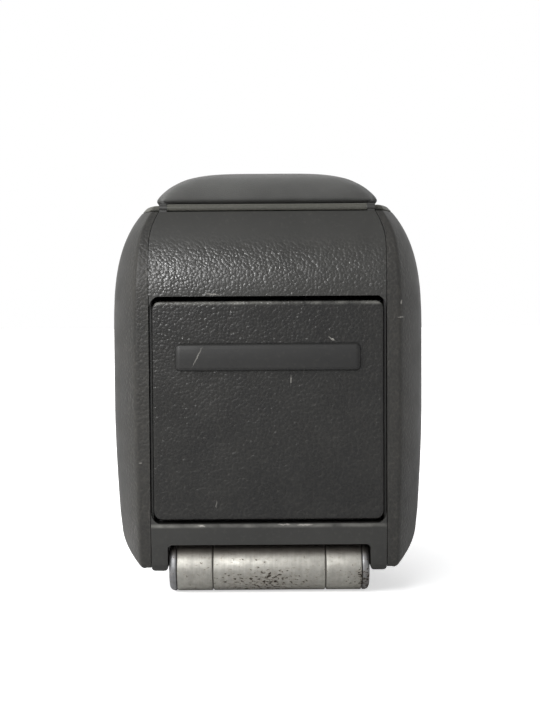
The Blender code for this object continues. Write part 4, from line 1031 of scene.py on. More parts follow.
@dataclass
class RearFrame:
    """Hood, side rails, lower strip and ears, which are one moulding.

    Its parts bite 0.6 mm or more into each other and lie 0.05 mm or more behind each other's faces.
    """

    form: ShellForm
    finishes: Finishes
    skin: float = 2.4
    lip_depth: float = 11.0
    strip_bottom: float = 15.1
    strip_top: float = 27.5
    strip_depths: Pair = (8.0, 10.5)
    rail_width: float = 1.3
    rail_y: Pair = (-11.0, -0.5)
    bite: float = 0.6
    ear_inner: float = 59.5
    ear_bottom: float = -0.9
    ear_depth: float = 25.0
    ear_round: float = 5.0
    foot_round: float = 2.6
    opening_round: float = 7.4
    notch_round: float = 4.5
    pivot: Pair = (1.2, 212.6)
    knuckle: float = 2.0
    knuckle_web: float = 1.3
    roll_half: float = 58.7
    edge: float = 0.9
    hood_steps: int = 36
    across_steps: int = 24
    round_steps: int = 8
    foot_steps: int = 5

    def sheet(self, bm: Mesh, path: list[Pair], half: Callable[[float], float]) -> None:
        """Adds a bent sheet across the armrest.

        Args:
            bm: The mesh that the sheet goes into.
            path: Its outer (y, z) path, with the inside on its right.
            half: Gives its half width at a height.
        """
        inside = offset_path(path, -self.skin)
        shares = steps(-1.0, 1.0, self.across_steps)
        outer = [[(half(z) * u, y, z) for u in shares] for y, z in path]
        inner = [[(half(p[1]) * u, q[0], q[1]) for u in shares] for p, q in zip(path, inside)]
        add_skin(bm, outer, inner)

    def ear(self) -> list[Pair]:
        """Gives the outline of an ear.

        Returns:
            Points (y, z).
        """
        rear, top, low = self.form.rear_y + 0.05, self.strip_top - self.skin * 0.7, self.ear_bottom
        end, heel = rear + self.ear_depth, low + self.ear_round
        outline = [(rear, top), (rear, heel)]
        outline += [(rear + back, low + up) for back, up in rounding(self.ear_round, self.round_steps)[1:]]
        return outline + [(end - self.ear_round, low), (end, heel), (end, self.strip_bottom), (-5.0, top)]

    def add_ear(self, bm: Mesh, side: int, outer: float) -> None:
        """Adds an ear with a rounded foot.

        Args:
            bm: The mesh that the ear goes into.
            side: -1 for the left, 1 for the right.
            outer: Its outer face.
        """
        rising = rounding(self.foot_round, self.foot_steps)
        falling = rounding(self.foot_round, self.foot_steps, falling=True)
        cuts = [(self.ear_inner + back, up) for back, up in rising]
        cuts += [(outer - back, up) for back, up in falling]
        add_loft(bm, [[(side * x, y, max(z, self.ear_bottom + up)) for y, z in self.ear()] for x, up in cuts])

    def add_web(self, bm: Mesh, corner: Pair, way_x: int, way_z: int, radius: float) -> None:
        """Adds a web that rounds an inner corner.

        Args:
            bm: The mesh that the web goes into.
            corner: X and Z of the corner.
            way_x: 1 if the web reaches to the right, -1 to the left.
            way_z: 1 if the web reaches up, -1 down.
            radius: Radius of the rounding.
        """
        x, z = corner
        turns = rounding(radius, self.round_steps)
        outline = [corner] + [(x + way_x * up, z + way_z * back) for back, up in turns]
        depths = (self.form.rear_y + 0.15, self.form.rear_y + self.skin)
        add_loft(bm, [[(px, y, pz) for px, pz in outline] for y in depths])

    def add_side(self, bm: Mesh, side: int) -> None:
        """Adds a side's rail, ear, rounded corners and lid hinge knuckle.

        Args:
            bm: The mesh that they go into.
            side: -1 for the left, 1 for the right.
        """
        form = self.form
        middle = form.seam - form.gap
        edge = middle - 0.1
        rail = (side * (middle - self.rail_width), side * (middle - 0.05))
        add_block(bm, rail, self.rail_y, (self.strip_top - 2 * self.bite, form.roll_z + 2 * self.bite))
        self.add_ear(bm, side, edge)
        self.add_web(bm, (side * edge, form.roll_z + self.bite), -side, -1, self.opening_round)
        self.add_web(bm, (side * edge, self.strip_top - self.bite), -side, 1, self.opening_round)
        notch = (side * (self.ear_inner + 0.5), self.strip_bottom + 0.5)
        self.add_web(bm, notch, -side, -1, self.notch_round)
        inner = self.roll_half + form.gap
        length = form.seam_x(form.rim_z) - form.gap - inner
        y, z = self.pivot
        add_rod(bm, "X", (side * inner, y, z), side * length, self.knuckle)
        web = (side * (inner + 0.05), side * (inner + length - 0.05))
        add_block(bm, web, (y - self.knuckle_web, y + self.knuckle_web), (form.rim_z - self.skin, z))

    def build(self) -> None:
        """Builds the moulding."""
        form = self.form
        rear = form.rear_y
        bm = bmesh.new()
        hood = [(rear + self.lip_depth, form.roll_z), (rear, form.roll_z)]
        hood += [(rear + form.end_roll(z), z) for z in steps(form.roll_z, form.rim_z, self.hood_steps)[1:]]
        self.sheet(bm, hood, lambda z: form.seam_x(z) - form.gap)
        low, high = self.strip_depths
        strip = [(rear + low, self.strip_bottom), (rear, self.strip_bottom)]
        strip += [(rear, self.strip_top), (rear + high, self.strip_top)]
        self.sheet(bm, strip, lambda z: form.seam - form.gap)
        for side in (-1, 1):
            self.add_side(bm, side)
        made = object_from("rear_frame_moulding", bm, self.finishes.frame)
        soften(made, self.edge, 3)
        settle(made, Body.ARMREST, ("rear_frame",))


@dataclass
class FrontCover:
    """The middle strip along the underside and up the front, with the notch for the latch."""

    form: ShellForm
    finishes: Finishes
    start_y: float = 16.0
    skin: float = 2.5
    edge_round: float = 6.0
    notch_half: float = 22.3
    notch_z: float = 196.7
    side_cells: int = 8
    notch_cells: int = 10
    under_steps: int = 40
    round_steps: int = 8
    face_steps: int = 6
    roll_steps: int = 20
    top_steps: int = 8
    edge: float = 0.6

    def path(self) -> list[Pair]:
        """Gives the outer path.

        Returns:
            Points (y, z), from under the barrel up to the rim.
        """
        form = self.form
        turn = form.front_y - self.edge_round
        path = [(y, form.under_z(y)) for y in steps(self.start_y, turn, self.under_steps)]
        for back, up in rounding(self.edge_round, self.round_steps, falling=True)[1:]:
            path.append((form.front_y - back, form.under_z(form.front_y - back) + up))
        path += [(form.front_y, z) for z in steps(path[-1][1], form.roll_z, self.face_steps)[1:]]
        heights = steps(form.roll_z, self.notch_z, self.roll_steps)[1:]
        heights += steps(self.notch_z, form.rim_z, self.top_steps)[1:]
        return path + [(form.front_y - form.end_roll(z), z) for z in heights]

    def build(self) -> None:
        """Builds the strip."""
        form, cells = self.form, self.side_cells
        path = self.path()
        notch = steps(-self.notch_half, self.notch_half, self.notch_cells)
        outer, inner = [], []
        for (y, z), (iy, iz) in zip(path, offset_path(path, self.skin)):
            half = form.seam_x(z) - form.gap
            left, right = steps(-half, -self.notch_half, cells), steps(self.notch_half, half, cells)
            across = left[:-1] + notch + right[1:]
            outer.append([(x, y, z) for x in across])
            inner.append([(x, iy, iz) for x in across])

        def keep(row: int, column: int) -> bool:
            """Says whether a cell lies outside the notch in the front's upper middle.

            Args:
                row: The cell's row, along the path.
                column: The cell's column, across.

            Returns:
                True where the sheet stays.
            """
            y, z = path[row]
            in_notch = cells <= column < cells + self.notch_cells
            return not (in_notch and z > self.notch_z - 0.01 and y > form.front_y / 2)

        bm = bmesh.new()
        add_skin(bm, outer, inner, keep)
        made = object_from("underside_cover_strip", bm, self.finishes.underside)
        soften(made, self.edge, 2)
        settle(made, Body.ARMREST, ("underside_cover",))


@dataclass
class FlapDoor:
    """The drop-down door with its rounded outline and the smooth bar that it is pulled by.

    bar_profile gives the bar's form from its lower to its upper edge, as shares of width and height.
    fine_rows are the heights that need closer grid lines, as (start, end, spacing).
    """

    form: ShellForm
    finishes: Finishes
    half: float = 67.3
    low: float = 30.0
    high: float = 157.5
    thickness: float = 2.8
    corner: float = 5.0
    edge: float = 1.1
    spacing: float = 2.2
    bar_half: float = 54.0
    bar_low: float = 117.0
    bar_high: float = 133.0
    bar_height: float = 2.4
    bar_round: float = 3.0
    bar_tip: float = 0.6
    bar_profile: tuple[Pair, ...] = (
        (0.0, 0.5), (0.05, 0.9), (0.12, 1.0), (0.45, 1.0),
        (0.65, 0.93), (0.8, 0.82), (0.93, 0.66), (1.0, 0.35),
    )
    fine_rows: tuple[Point, ...] = ((116.6, 119.6, 0.2), (119.6, 129.6, 1.0), (129.6, 133.4, 0.2))
    fine_spacing: float = 0.25
    pivot: Pair = (-7.5, 36.0)
    knuckle: float = 3.2
    knuckle_length: float = 9.0
    knuckle_z: Pair = (34.0, 38.0)
    boss: float = 3.5
    boss_tip: float = -5.0
    bosses: tuple[Pair, ...] = ((-57.0, 51.0), (-57.0, 138.0), (57.0, 51.0), (57.0, 138.0))

    def bar(self, x: float, z: float) -> float:
        """Gives how far the bar stands out of the door.

        Args:
            x: Place across.
            z: Height.

        Returns:
            Millimetres, 0 outside the bar.
        """
        end = (abs(x) - (self.bar_half - self.bar_round)) / self.bar_round
        if end >= 1:
            return 0.0
        share = self.bar_tip + (1 - self.bar_tip) * math.sqrt(1 - max(0.0, end) ** 2)
        reach = (self.bar_high - self.bar_low) * share
        up = (z - (self.bar_low + self.bar_high) / 2) / reach + 0.5
        if not 0 < up < 1:
            return 0.0
        for (a, out_a), (b, out_b) in zip(self.bar_profile, self.bar_profile[1:]):
            if up <= b:
                out = out_a + (out_b - out_a) * (up - a) / (b - a)
                break
        near = min(up * reach, (1 - up) * reach, self.bar_half - abs(x))
        return self.bar_height * out * share**2 * smoothstep(0.0, 0.35, near)

    def lines(self, low: float, high: float, fine: tuple[Point, ...]) -> list[float]:
        """Gives the grid lines across the door, closer at its edges.

        Args:
            low: Lower edge.
            high: Upper edge.
            fine: Stretches that need closer lines, as (start, end, spacing).

        Returns:
            Places, in order.
        """
        # Close lines over the rounded edge, wider ones over the corner
        rim = [0.0, 0.08, 0.2, 0.4, 0.7, self.edge, 2.2, 3.5, self.corner]
        places = {low + r for r in rim} | {high - r for r in rim}
        spots = steps(low + self.corner, high - self.corner, round((high - low) / self.spacing))
        places |= {p for p in spots if not any(a < p < b for a, b, _ in fine)}
        for a, b, spacing in fine:
            places |= set(steps(a, b, round((b - a) / spacing)))
        return sorted(places)

    def place(self, x: float, z: float) -> Point:
        """Bends a square grid onto the rounded outline.

        Args:
            x: Place across in the square.
            z: Height in the square.

        Returns:
            X, Z and the distance from the outline.
        """
        mid_z, half_z = (self.low + self.high) / 2, (self.high - self.low) / 2
        a = (abs(x) - (self.half - self.corner)) / self.corner
        b = (abs(z - mid_z) - (half_z - self.corner)) / self.corner
        if a > 0 and b > 0:
            near_x, near_z = a * math.sqrt(1 - b * b / 2), b * math.sqrt(1 - a * a / 2)
            inside = self.corner * (1 - math.hypot(near_x, near_z))
            x = math.copysign(self.half - self.corner + near_x * self.corner, x)
            z = mid_z + math.copysign(half_z - self.corner + near_z * self.corner, z - mid_z)
            return x, z, inside
        return x, z, self.corner * (1 - max(a, b))

    def add_face(self, bm: Mesh, face: float, inner_y: float) -> None:
        """Adds the door's sheet with the bar.

        Args:
            bm: The mesh that it goes into.
            face: Where its outer face is.
            inner_y: Where its inner face is.
        """
        start, end = self.bar_half - self.bar_round - 0.5, self.bar_half + 0.3
        fine = ((-end, -start, self.fine_spacing), (start, end, self.fine_spacing))
        across = self.lines(-self.half, self.half, fine)
        outer, inner = [], []
        for z in self.lines(self.low, self.high, self.fine_rows):
            spots = [self.place(x, z) for x in across]
            row = []
            for px, pz, inside in spots:
                curl = 0.0
                if inside < self.edge:
                    curl = self.edge - math.sqrt(max(0.0, self.edge**2 - (self.edge - inside) ** 2))
                row.append((px, face + curl - self.bar(px, pz), pz))
            outer.append(row)
            inner.append([(px, inner_y, pz) for px, pz, _ in spots])
        add_skin(bm, outer, inner)

    def build(self) -> None:
        """Builds the door."""
        inner_y = self.form.rear_y + self.thickness
        bm = bmesh.new()
        self.add_face(bm, self.form.rear_y, inner_y)
        for side in (-1, 1):
            end, length = side * (self.half - 0.5), side * self.knuckle_length
            add_rod(bm, "X", (end, *self.pivot), -length, self.knuckle, 24)
            add_block(bm, (end, end - length), (inner_y - 1, self.pivot[0]), self.knuckle_z)
        for x, z in self.bosses:
            add_rod(bm, "Y", (x, inner_y - 1, z), self.boss_tip - inner_y + 1, self.boss, 24)
        made = object_from("flap_door_skin", bm, self.finishes.flap)
        soften(made, 0.25, 2, 50.0)
        settle(made, Body.FLAP, ("flap_door",))


@dataclass
class HingeBarrel:
    """The silver barrel: a fixed middle sleeve, two sleeves that turn, and two end caps."""

    finishes: Finishes
    radius: float = 14.3
    half: float = 58.9
    cap: float = 4.2
    centre_half: float = 33.0
    gap: float = 0.3
    bore: float = 5.3
    outer_bore: float = 8.0
    chamfer: float = 0.9
    cap_round: float = 2.8
    dimple: float = 6.0
    edge_steps: int = 5
    cap_steps: int = 8
    sides: int = 128

    def sleeve(self, start: float, end: float, bore: float) -> list[Pair]:
        """Gives the profile of a sleeve with rounded edges.

        Args:
            start: First end along X.
            end: Second end along X.
            bore: Radius of its bore.

        Returns:
            Points (x, radius).
        """
        rising = rounding(self.chamfer, self.edge_steps)
        falling = rounding(self.chamfer, self.edge_steps, falling=True)
        profile = [(start, bore)] + [(start + back, self.radius - down) for back, down in rising]
        return profile + [(end - back, self.radius - down) for back, down in falling] + [(end, bore)]

    def end_cap(self) -> list[Pair]:
        """Gives the profile of an end cap with a round rim and a flat dimple.

        Returns:
            Points (x, radius), from its seat outwards.
        """
        seat, radius = self.half - self.cap, self.radius
        cap = [(seat, 0.0), (seat, radius - 0.5), (seat + 0.15, radius - 0.15), (seat + 0.5, radius)]
        cap += [(self.half - out, radius - down) for down, out in rounding(self.cap_round, self.cap_steps)]
        floor = self.half - 0.4
        return cap + [(self.half - 0.05, self.dimple), (floor, self.dimple - 0.4), (floor, 0.0)]

    def turn(
        self, name: str, profile: list[Pair], side: int, finish: Material, body: Body, node: str
    ) -> None:
        """Turns a closed profile about the barrel axis and hands the piece over.

        Args:
            name: Name of the piece.
            profile: Its points (x, radius).
            side: -1 mirrors it to the left.
            finish: Its material.
            body: The body that it rides on.
            node: The CAD node that it replaces.
        """
        bm = bmesh.new()
        corners = [bm.verts.new((side * x, 0, radius)) for x, radius in profile]
        edges = [bm.edges.new((corners[i - 1], corners[i])) for i in range(len(corners))]
        bmesh.ops.spin(
            bm, geom=corners + edges, cent=(0, 0, 0), axis=(1, 0, 0), angle=2 * math.pi, steps=self.sides,
            use_duplicate=False,
        )
        made = object_from(name, bm, finish)
        made.data.set_sharp_from_angle(angle=CRISP)
        settle(made, body, (node,))

    def build(self) -> None:
        """Builds the sleeves and caps."""
        silver, dull = self.finishes.silver, self.finishes.silver_cap
        centre = self.sleeve(-self.centre_half, self.centre_half, self.bore)
        self.turn("barrel_centre_tube", centre, 1, silver, Body.BASE, "barrel_centre_sleeve")
        outer = self.sleeve(self.centre_half + self.gap, self.half - self.cap - self.gap, self.outer_bore)
        for side, word in ((-1, "left"), (1, "right")):
            self.turn(f"{word}_barrel_tube", outer, side, silver, Body.ARMREST, f"{word}_barrel_sleeve")
            self.turn(f"{word}_barrel_cap", self.end_cap(), side, dull, Body.ARMREST, f"{word}_end_cap")


@dataclass(frozen=True)
class PadSwell:
    """A cloth simulation that swells a closed pad, with its result kept in the mesh."""

    voxel: float = 4.5
    pressure: float = 4.0
    cap: float = 1.6
    frames: int = 20

    def apply(self, made: Piece, finish: Material, floor_z: float) -> None:
        """Remeshes, swells and smooths a pad.

        Args:
            made: The pad, a closed mesh in the frame's metres.
            finish: Its material, which remeshing drops.
            floor_z: Height in metres that it doesn't go below.
        """
        remesh = made.modifiers.new("even_faces", "REMESH")
        remesh.mode = "VOXEL"
        remesh.voxel_size = self.voxel * MM
        keep_result(made)
        start = [v.co.copy() for v in made.data.vertices]
        cloth = made.modifiers.new("swell", "CLOTH").settings
        cloth.use_pressure = True
        cloth.uniform_pressure_force = self.pressure
        cloth.effector_weights.gravity = 0.0
        cloth.quality = 5
        for number in range(1, self.frames + 1):
            bpy.context.scene.frame_set(number)
        keep_result(made)
        bpy.context.scene.frame_set(1)
        reach = self.cap * MM
        for vertex, first in zip(made.data.vertices, start):
            move = vertex.co - first
            if move.length > reach:
                move *= reach / move.length
            spot = first + move
            spot.z = max(spot.z, floor_z)
            vertex.co = spot
        made.data.materials.clear()
        made.data.materials.append(finish)
        smooth = made.modifiers.new("even_skin", "SMOOTH")
        smooth.factor, smooth.iterations = 0.5, 6
        rounder = made.modifiers.new("finer_faces", "SUBSURF")
        rounder.levels = rounder.render_levels = 1
        keep_result(made)
        made.data.shade_smooth()


@dataclass
class Lid:
    """The lid: its rigid frame with the hinge roll, and the padded cover.

    pad_drops are the heights of the pad's loops, as shares from its top down to its foot.
    """

    form: ShellForm
    finishes: Finishes
    low: float = 210.6
    high: float = 214.0
    rear: float = 3.6
    pivot: Pair = (1.2, 212.6)
    roll: float = 2.0
    roll_half: float = 58.7
    roll_web: float = 1.3
    edge: float = 0.9
    latch_half: float = 21.7
    latch_gap: float = 0.6
    lug_width: float = 3.0
    lug_half: float = 2.0
    latch_pivot: Pair = (297.2, 207.9)
    edge_steps: int = 4
    pad_low: float = 214.3
    pad_high: float = 235.5
    pad_half: float = 72.4
    pad_draw: float = 11.9
    pad_rear: float = 3.0
    pad_front: float = 299.0
    pad_crown: float = 37.0
    pad_slack: float = 1.3
    pad_inset: float = 0.3
    pad_fill: float = 0.7
    pad_drops: tuple[float, ...] = (
        1.0, 0.94, 0.86, 0.76, 0.66, 0.56, 0.46, 0.36, 0.26, 0.18, 0.1, 0.05, 0.02, 0.0,
    )

    def frame_loop(self, z: float, inset: float) -> list[Point]:
        """The frame's outline at a height, drawn in, and cut straight behind the roll."""
        return [(x, max(y, self.rear + inset), z) for x, y, z in self.form.loop(z, inset)]

    def build_frame(self) -> None:
        """Builds the rigid frame."""
        rising = rounding(self.edge, self.edge_steps, falling=True)
        falling = rounding(self.edge, self.edge_steps)
        loops = [self.frame_loop(self.low + up, back) for back, up in rising]
        loops += [self.frame_loop(self.high - down, back) for back, down in falling]
        bm = bmesh.new()
        add_loft(bm, loops)
        y, z = self.pivot
        add_rod(bm, "X", (-self.roll_half, y, z), 2 * self.roll_half, self.roll)
        web = (z - self.roll_web, z + self.roll_web)
        add_block(bm, (-self.roll_half, self.roll_half), (y, self.rear + 1), web)
        y, z = self.latch_pivot
        inner = self.latch_half + self.latch_gap
        for side in (-1, 1):
            lug = (side * inner, side * (inner + self.lug_width))
            add_block(bm, lug, (y - self.lug_half, y + self.lug_half), (z - self.lug_half, self.low + 1))
        made = object_from("lid_frame_moulding", bm, self.finishes.lid)
        made.data.set_sharp_from_angle(angle=math.radians(40))
        settle(made, Body.LID, ("lid_frame",))

    def pad_loop(self, drop: float) -> list[Point]:
        """Gives the pad's outline at a height.

        Args:
            drop: Share of the pad's height below its top.

        Returns:
            The outline's points.
        """
        left = max(drop, 0.004)
        half = self.pad_half * left**0.21 - self.pad_inset
        end = self.pad_crown * (1 - left**0.372) + self.pad_inset
        top = self.pad_high - self.pad_slack
        z = top - (self.pad_high - self.pad_low - self.pad_slack) * drop
        rear, front = self.pad_rear + end, self.pad_front - end
        columns = self.form.columns()
        side = [self.form.plan_point(c, half, half - self.pad_draw, rear, front) for c in columns]
        return [(x, y, z) for x, y in side] + [(-x, y, z) for x, y in reversed(side)]

    def build_pad(self) -> None:
        """Builds the padded cover, swollen by a cloth simulation."""
        bm = bmesh.new()
        add_loft(bm, [self.pad_loop(drop) for drop in self.pad_drops])
        made = object_from("lid_cushion", bm, self.finishes.vinyl)
        PadSwell().apply(made, self.finishes.vinyl, (self.pad_low + AXIS_Z) * MM)
        settle(made, Body.LID, ("lid_pad",))

    def build(self) -> None:
        """Builds the frame and the pad."""
        self.build_frame()
        self.build_pad()


@dataclass
class Fasteners:
    """Screws and bolts, set out by Geometry Nodes."""

    finishes: Finishes
    screw_head: float = 2.8
    screw_height: float = 1.8
    bolt_head: float = 5.5
    bolt_height: float = 4.0
    bolt_shank: float = 3.0

    def screw(self, length: float, shank: float) -> Mesh:
        """Models a pan head screw with a cross recess, head up, seat at zero.

        Args:
            length: Length under the head.
            shank: Radius of the shank.

        Returns:
            The mesh in millimetres.
        """
        bm = bmesh.new()
        head, height = self.screw_head, self.screw_height
        rings = [(shank * 0.5, -length), (shank, -length + 0.6), (shank, 0.0), (head, 0.0)]
        rings += [(head, height * 0.45), (head - 0.5, height * 0.85), (head - 1.1, height)]
        angles = steps(0, 2 * math.pi, 32)[:-1]
        count = len(angles)
        loops = [[bm.verts.new((r * math.cos(a), r * math.sin(a), z)) for a in angles] for r, z in rings]
        bm.faces.new(reversed(loops[0]))
        for low, high in zip(loops, loops[1:]):
            for i in range(count):
                bm.faces.new((low[i - 1], low[i], high[i], high[i - 1]))
        # The cross: its lip in the top, its floor lower and smaller
        arm, slot, floor = head * 0.45, 0.3, height * 0.35
        cross = [(arm, slot), (slot, slot), (slot, arm), (-slot, arm), (-slot, slot), (-arm, slot)]
        cross += [(-x, -y) for x, y in cross]
        lip = [bm.verts.new((x, y, height)) for x, y in cross]
        deep = [bm.verts.new((x * 0.75, y * 0.75, floor)) for x, y in cross]
        rim = [bm.edges.new((lip[i - 1], lip[i])) for i in range(len(lip))]
        outer = [bm.edges.get((loops[-1][i - 1], loops[-1][i])) for i in range(count)]
        for i in range(len(lip)):
            bm.faces.new((lip[i - 1], lip[i], deep[i], deep[i - 1]))
        bm.faces.new(deep)
        bmesh.ops.triangle_fill(bm, use_beauty=True, edges=rim + outer)
        return bm

    def bolt(self, length: float) -> Mesh:
        """Models a hexagon bolt with a chamfered head and a washer face, seat at zero.

        Args:
            length: Length under the head.

        Returns:
            The mesh in millimetres.
        """
        sixth = math.pi / 3
        flat = self.bolt_head * math.cos(sixth / 2)

        def ring(z: float, radius: float, hexagon: bool = False) -> list[Point]:
            """Gives a ring.

            Args:
                z: Its height.
                radius: Its radius, or the limit that a hexagon is drawn in to.
                hexagon: Whether it is a hexagon.

            Returns:
                Its points.
            """
            made = []
            for a in steps(0, 2 * math.pi, 48)[:-1]:
                side = flat / math.cos((a + math.pi / 6) % sixth - math.pi / 6)
                r = min(side, radius) if hexagon else radius
                made.append((r * math.cos(a), r * math.sin(a), z))
            return made

        top, head, shank = self.bolt_height, self.bolt_head, self.bolt_shank
        bm = bmesh.new()
        add_loft(bm, [
            ring(-length, shank - 0.4), ring(-length + 0.5, shank), ring(0.0, shank),
            ring(0.0, flat - 0.2), ring(0.3, flat - 0.2),
            ring(0.3, head - 0.25, True), ring(0.6, head, True), ring(top - 0.6, head, True),
            ring(top, flat - 0.1), ring(top - 0.25, flat - 1.2),
        ])
        return bm

    def tree(self) -> tuple[bpy.types.NodeTree, dict[str, str]]:
        """Builds the tree that sets a part on points.

        Returns:
            The tree, and each input's identifier by name.
        """
        tree = bpy.data.node_groups.new("set_fasteners", "GeometryNodeTree")
        kinds = {
            "Points": "Geometry", "Part": "Object", "Turn": "Rotation", "Size": "Float", "Finish": "Material",
        }
        names = {}
        for name, kind in kinds.items():
            socket = tree.interface.new_socket(name=name, in_out="INPUT", socket_type=f"NodeSocket{kind}")
            names[name] = socket.identifier
        tree.interface.new_socket(name="Geometry", in_out="OUTPUT", socket_type="NodeSocketGeometry")
        source = add_node(tree, "NodeGroupInput").outputs
        part = add_node(tree, "GeometryNodeObjectInfo", {"Object": source["Part"]}).outputs["Geometry"]
        inputs = {
            "Points": source["Points"], "Instance": part, "Rotation": source["Turn"], "Scale": source["Size"],
        }
        placed = add_node(tree, "GeometryNodeInstanceOnPoints", inputs).outputs[0]
        real = add_node(tree, "GeometryNodeRealizeInstances", {0: placed}).outputs[0]
        inputs = {"Geometry": real, "Material": source["Finish"]}
        dressed = add_node(tree, "GeometryNodeSetMaterial", inputs).outputs[0]
        add_node(tree, "NodeGroupOutput", {0: dressed})
        return tree, names

    def set_out(self, name: str, part: Mesh, spots: list[Point], tilt: float, body: Body) -> None:
        """Sets a part on every spot and hands the result to its body.

        Args:
            name: Name of one of them, and so of the CAD nodes that they replace.
            part: The part in millimetres, head up.
            spots: Where its seats are, in millimetres.
            tilt: How it is turned about X, in radians.
            body: The body that it rides on.
        """
        bmesh.ops.recalc_face_normals(part, faces=part.faces)
        bmesh.ops.scale(part, vec=(MM, MM, MM), verts=part.verts)
        mesh = bpy.data.meshes.new(f"{name}s_part")
        part.to_mesh(mesh)
        part.free()
        mould = add_object(f"{name}s_part", mesh)
        cloud = bpy.data.meshes.new(f"{name}s_spots")
        cloud.from_pydata([frame_place() @ Vector(spot) for spot in spots], [], [])
        host = add_object(f"{name}s", cloud)
        modifier = host.modifiers.new("set_fasteners", "NODES")
        modifier.node_group, names = self.tree()
        values = {"Part": mould, "Turn": (tilt, 0.0, 0.0), "Size": 1.0, "Finish": self.finishes.zinc}
        for key, value in values.items():
            modifier[names[key]] = value
        keep_result(host)
        bpy.data.objects.remove(mould)
        host.data.shade_smooth()
        host.data.set_sharp_from_angle(angle=CRISP)
        settle(host, body, tuple(f"{name}_{i}" for i in range(1, len(spots) + 1)))

    def build(self) -> None:
        """Builds every set of fasteners, with their seats where the CAD nodes have them."""
        spots = [(x, 24.3, z) for x in (-57.0, 57.0) for z in (51.0, 138.0)]
        self.set_out("tray_screw", self.screw(34.0, 1.5), spots, -QUARTER, Body.FLAP)
        spots = [(x, y, 118.7) for x in (-30.0, 30.0) for y in (72.0, 160.0)]
        self.set_out("frame_screw", self.screw(6.0, 1.6), spots, math.pi, Body.ARMREST)
        spots = [(x, y, -8.7) for x in (-36.0, 36.0) for y in (36.0, 63.0)]
        self.set_out("bracket_bolt", self.bolt(4.0), spots, 0.0, Body.BASE)


@dataclass
class CarriedNodes:
    """The CAD nodes whose shape is right as it is. They get rounded edges and their finish."""

    finishes: Finishes
    weld: float = 0.01

    def build(self, nodes: dict[str, Piece]) -> None:
        """Dresses the nodes.

        Args:
            nodes: The frame's nodes by name.
        """
        f = self.finishes
        # For each node its finish, and the width of its rounded edges in millimetres
        table = {
            "storage_bin": (f.bin, 0.5), "bin_mat": (f.mat, 0.4), "cup_housing": (f.housing, 0.5),
            "cup_tray": (f.tray, 0.6), "hinge_frame": (f.enamel, 0.5), "mounting_bracket": (f.enamel, 0.5),
            "lid_inner_panel": (f.bin, 0.8), "latch_lever": (f.latch, 0.4), "latch_catch": (f.zinc, 0.2),
            "latch_pin": (f.zinc, 0.1), "hinge_shaft": (f.shaft, 0.0), "left_bush": (f.nylon, 0.0),
            "right_bush": (f.nylon, 0.0), "left_lid_hinge_pin": (f.zinc, 0.1),
            "right_lid_hinge_pin": (f.zinc, 0.1), "left_flap_hinge_pin": (f.zinc, 0.1),
            "right_flap_hinge_pin": (f.zinc, 0.1),
        }
        for name, (finish, width) in table.items():
            node = nodes[name]
            node.data.materials.clear()
            node.data.materials.append(finish)
            node.data.shade_smooth()
            node.modifiers.new("weld", "WELD").merge_threshold = self.weld * MM
            flat = node.modifiers.new("flat_faces", "DECIMATE")
            flat.decimate_type = "DISSOLVE"
            flat.angle_limit = math.radians(1.0)
            if width:
                soften(node, width, 2, 32.0)
            else:
                node.modifiers.new("crisp", "EDGE_SPLIT").split_angle = math.radians(32)
            LOG.info("%s keeps its CAD shape", name)


# --------------------------------------------------------------- light and camera


@dataclass(frozen=True)
class SunLight:
    """One even light from far away. It is kept out of the gloss, which the soft boxes give."""

    name: str
    azimuth: float
    elevation: float
    strength: float
    spread: float

    def build(self) -> None:
        """Builds the light. Azimuth 0 shines from behind the camera, and 90 from the left."""
        lamp = bpy.data.lights.new(self.name, "SUN")
        lamp.energy = self.strength * math.pi
        lamp.angle = math.radians(self.spread)
        made = add_object(self.name, lamp)
        a, e = math.radians(self.azimuth), math.radians(self.elevation)
        towards = Vector((-math.sin(a) * math.cos(e), -math.cos(a) * math.cos(e), math.sin(e)))
        made.rotation_mode = "QUATERNION"
        made.rotation_quaternion = towards.to_track_quat("Z", "Y")
        made.visible_glossy = False


@dataclass(frozen=True)
class SoftBox:
    """A square studio lamp near the object. With lights_matt off it shows in the gloss alone."""

    name: str
    place: Point
    target: Point
    size: float
    power: float
    lights_matt: bool = True

    def build(self) -> None:
        """Builds the lamp."""
        lamp = bpy.data.lights.new(self.name, "AREA")
        lamp.size = self.size
        lamp.energy = self.power
        made = add_object(self.name, lamp)
        made.location = self.place
        made.rotation_mode = "QUATERNION"
        made.rotation_quaternion = (Vector(self.place) - Vector(self.target)).to_track_quat("Z", "Y")
        made.visible_camera = False
        made.visible_diffuse = self.lights_matt


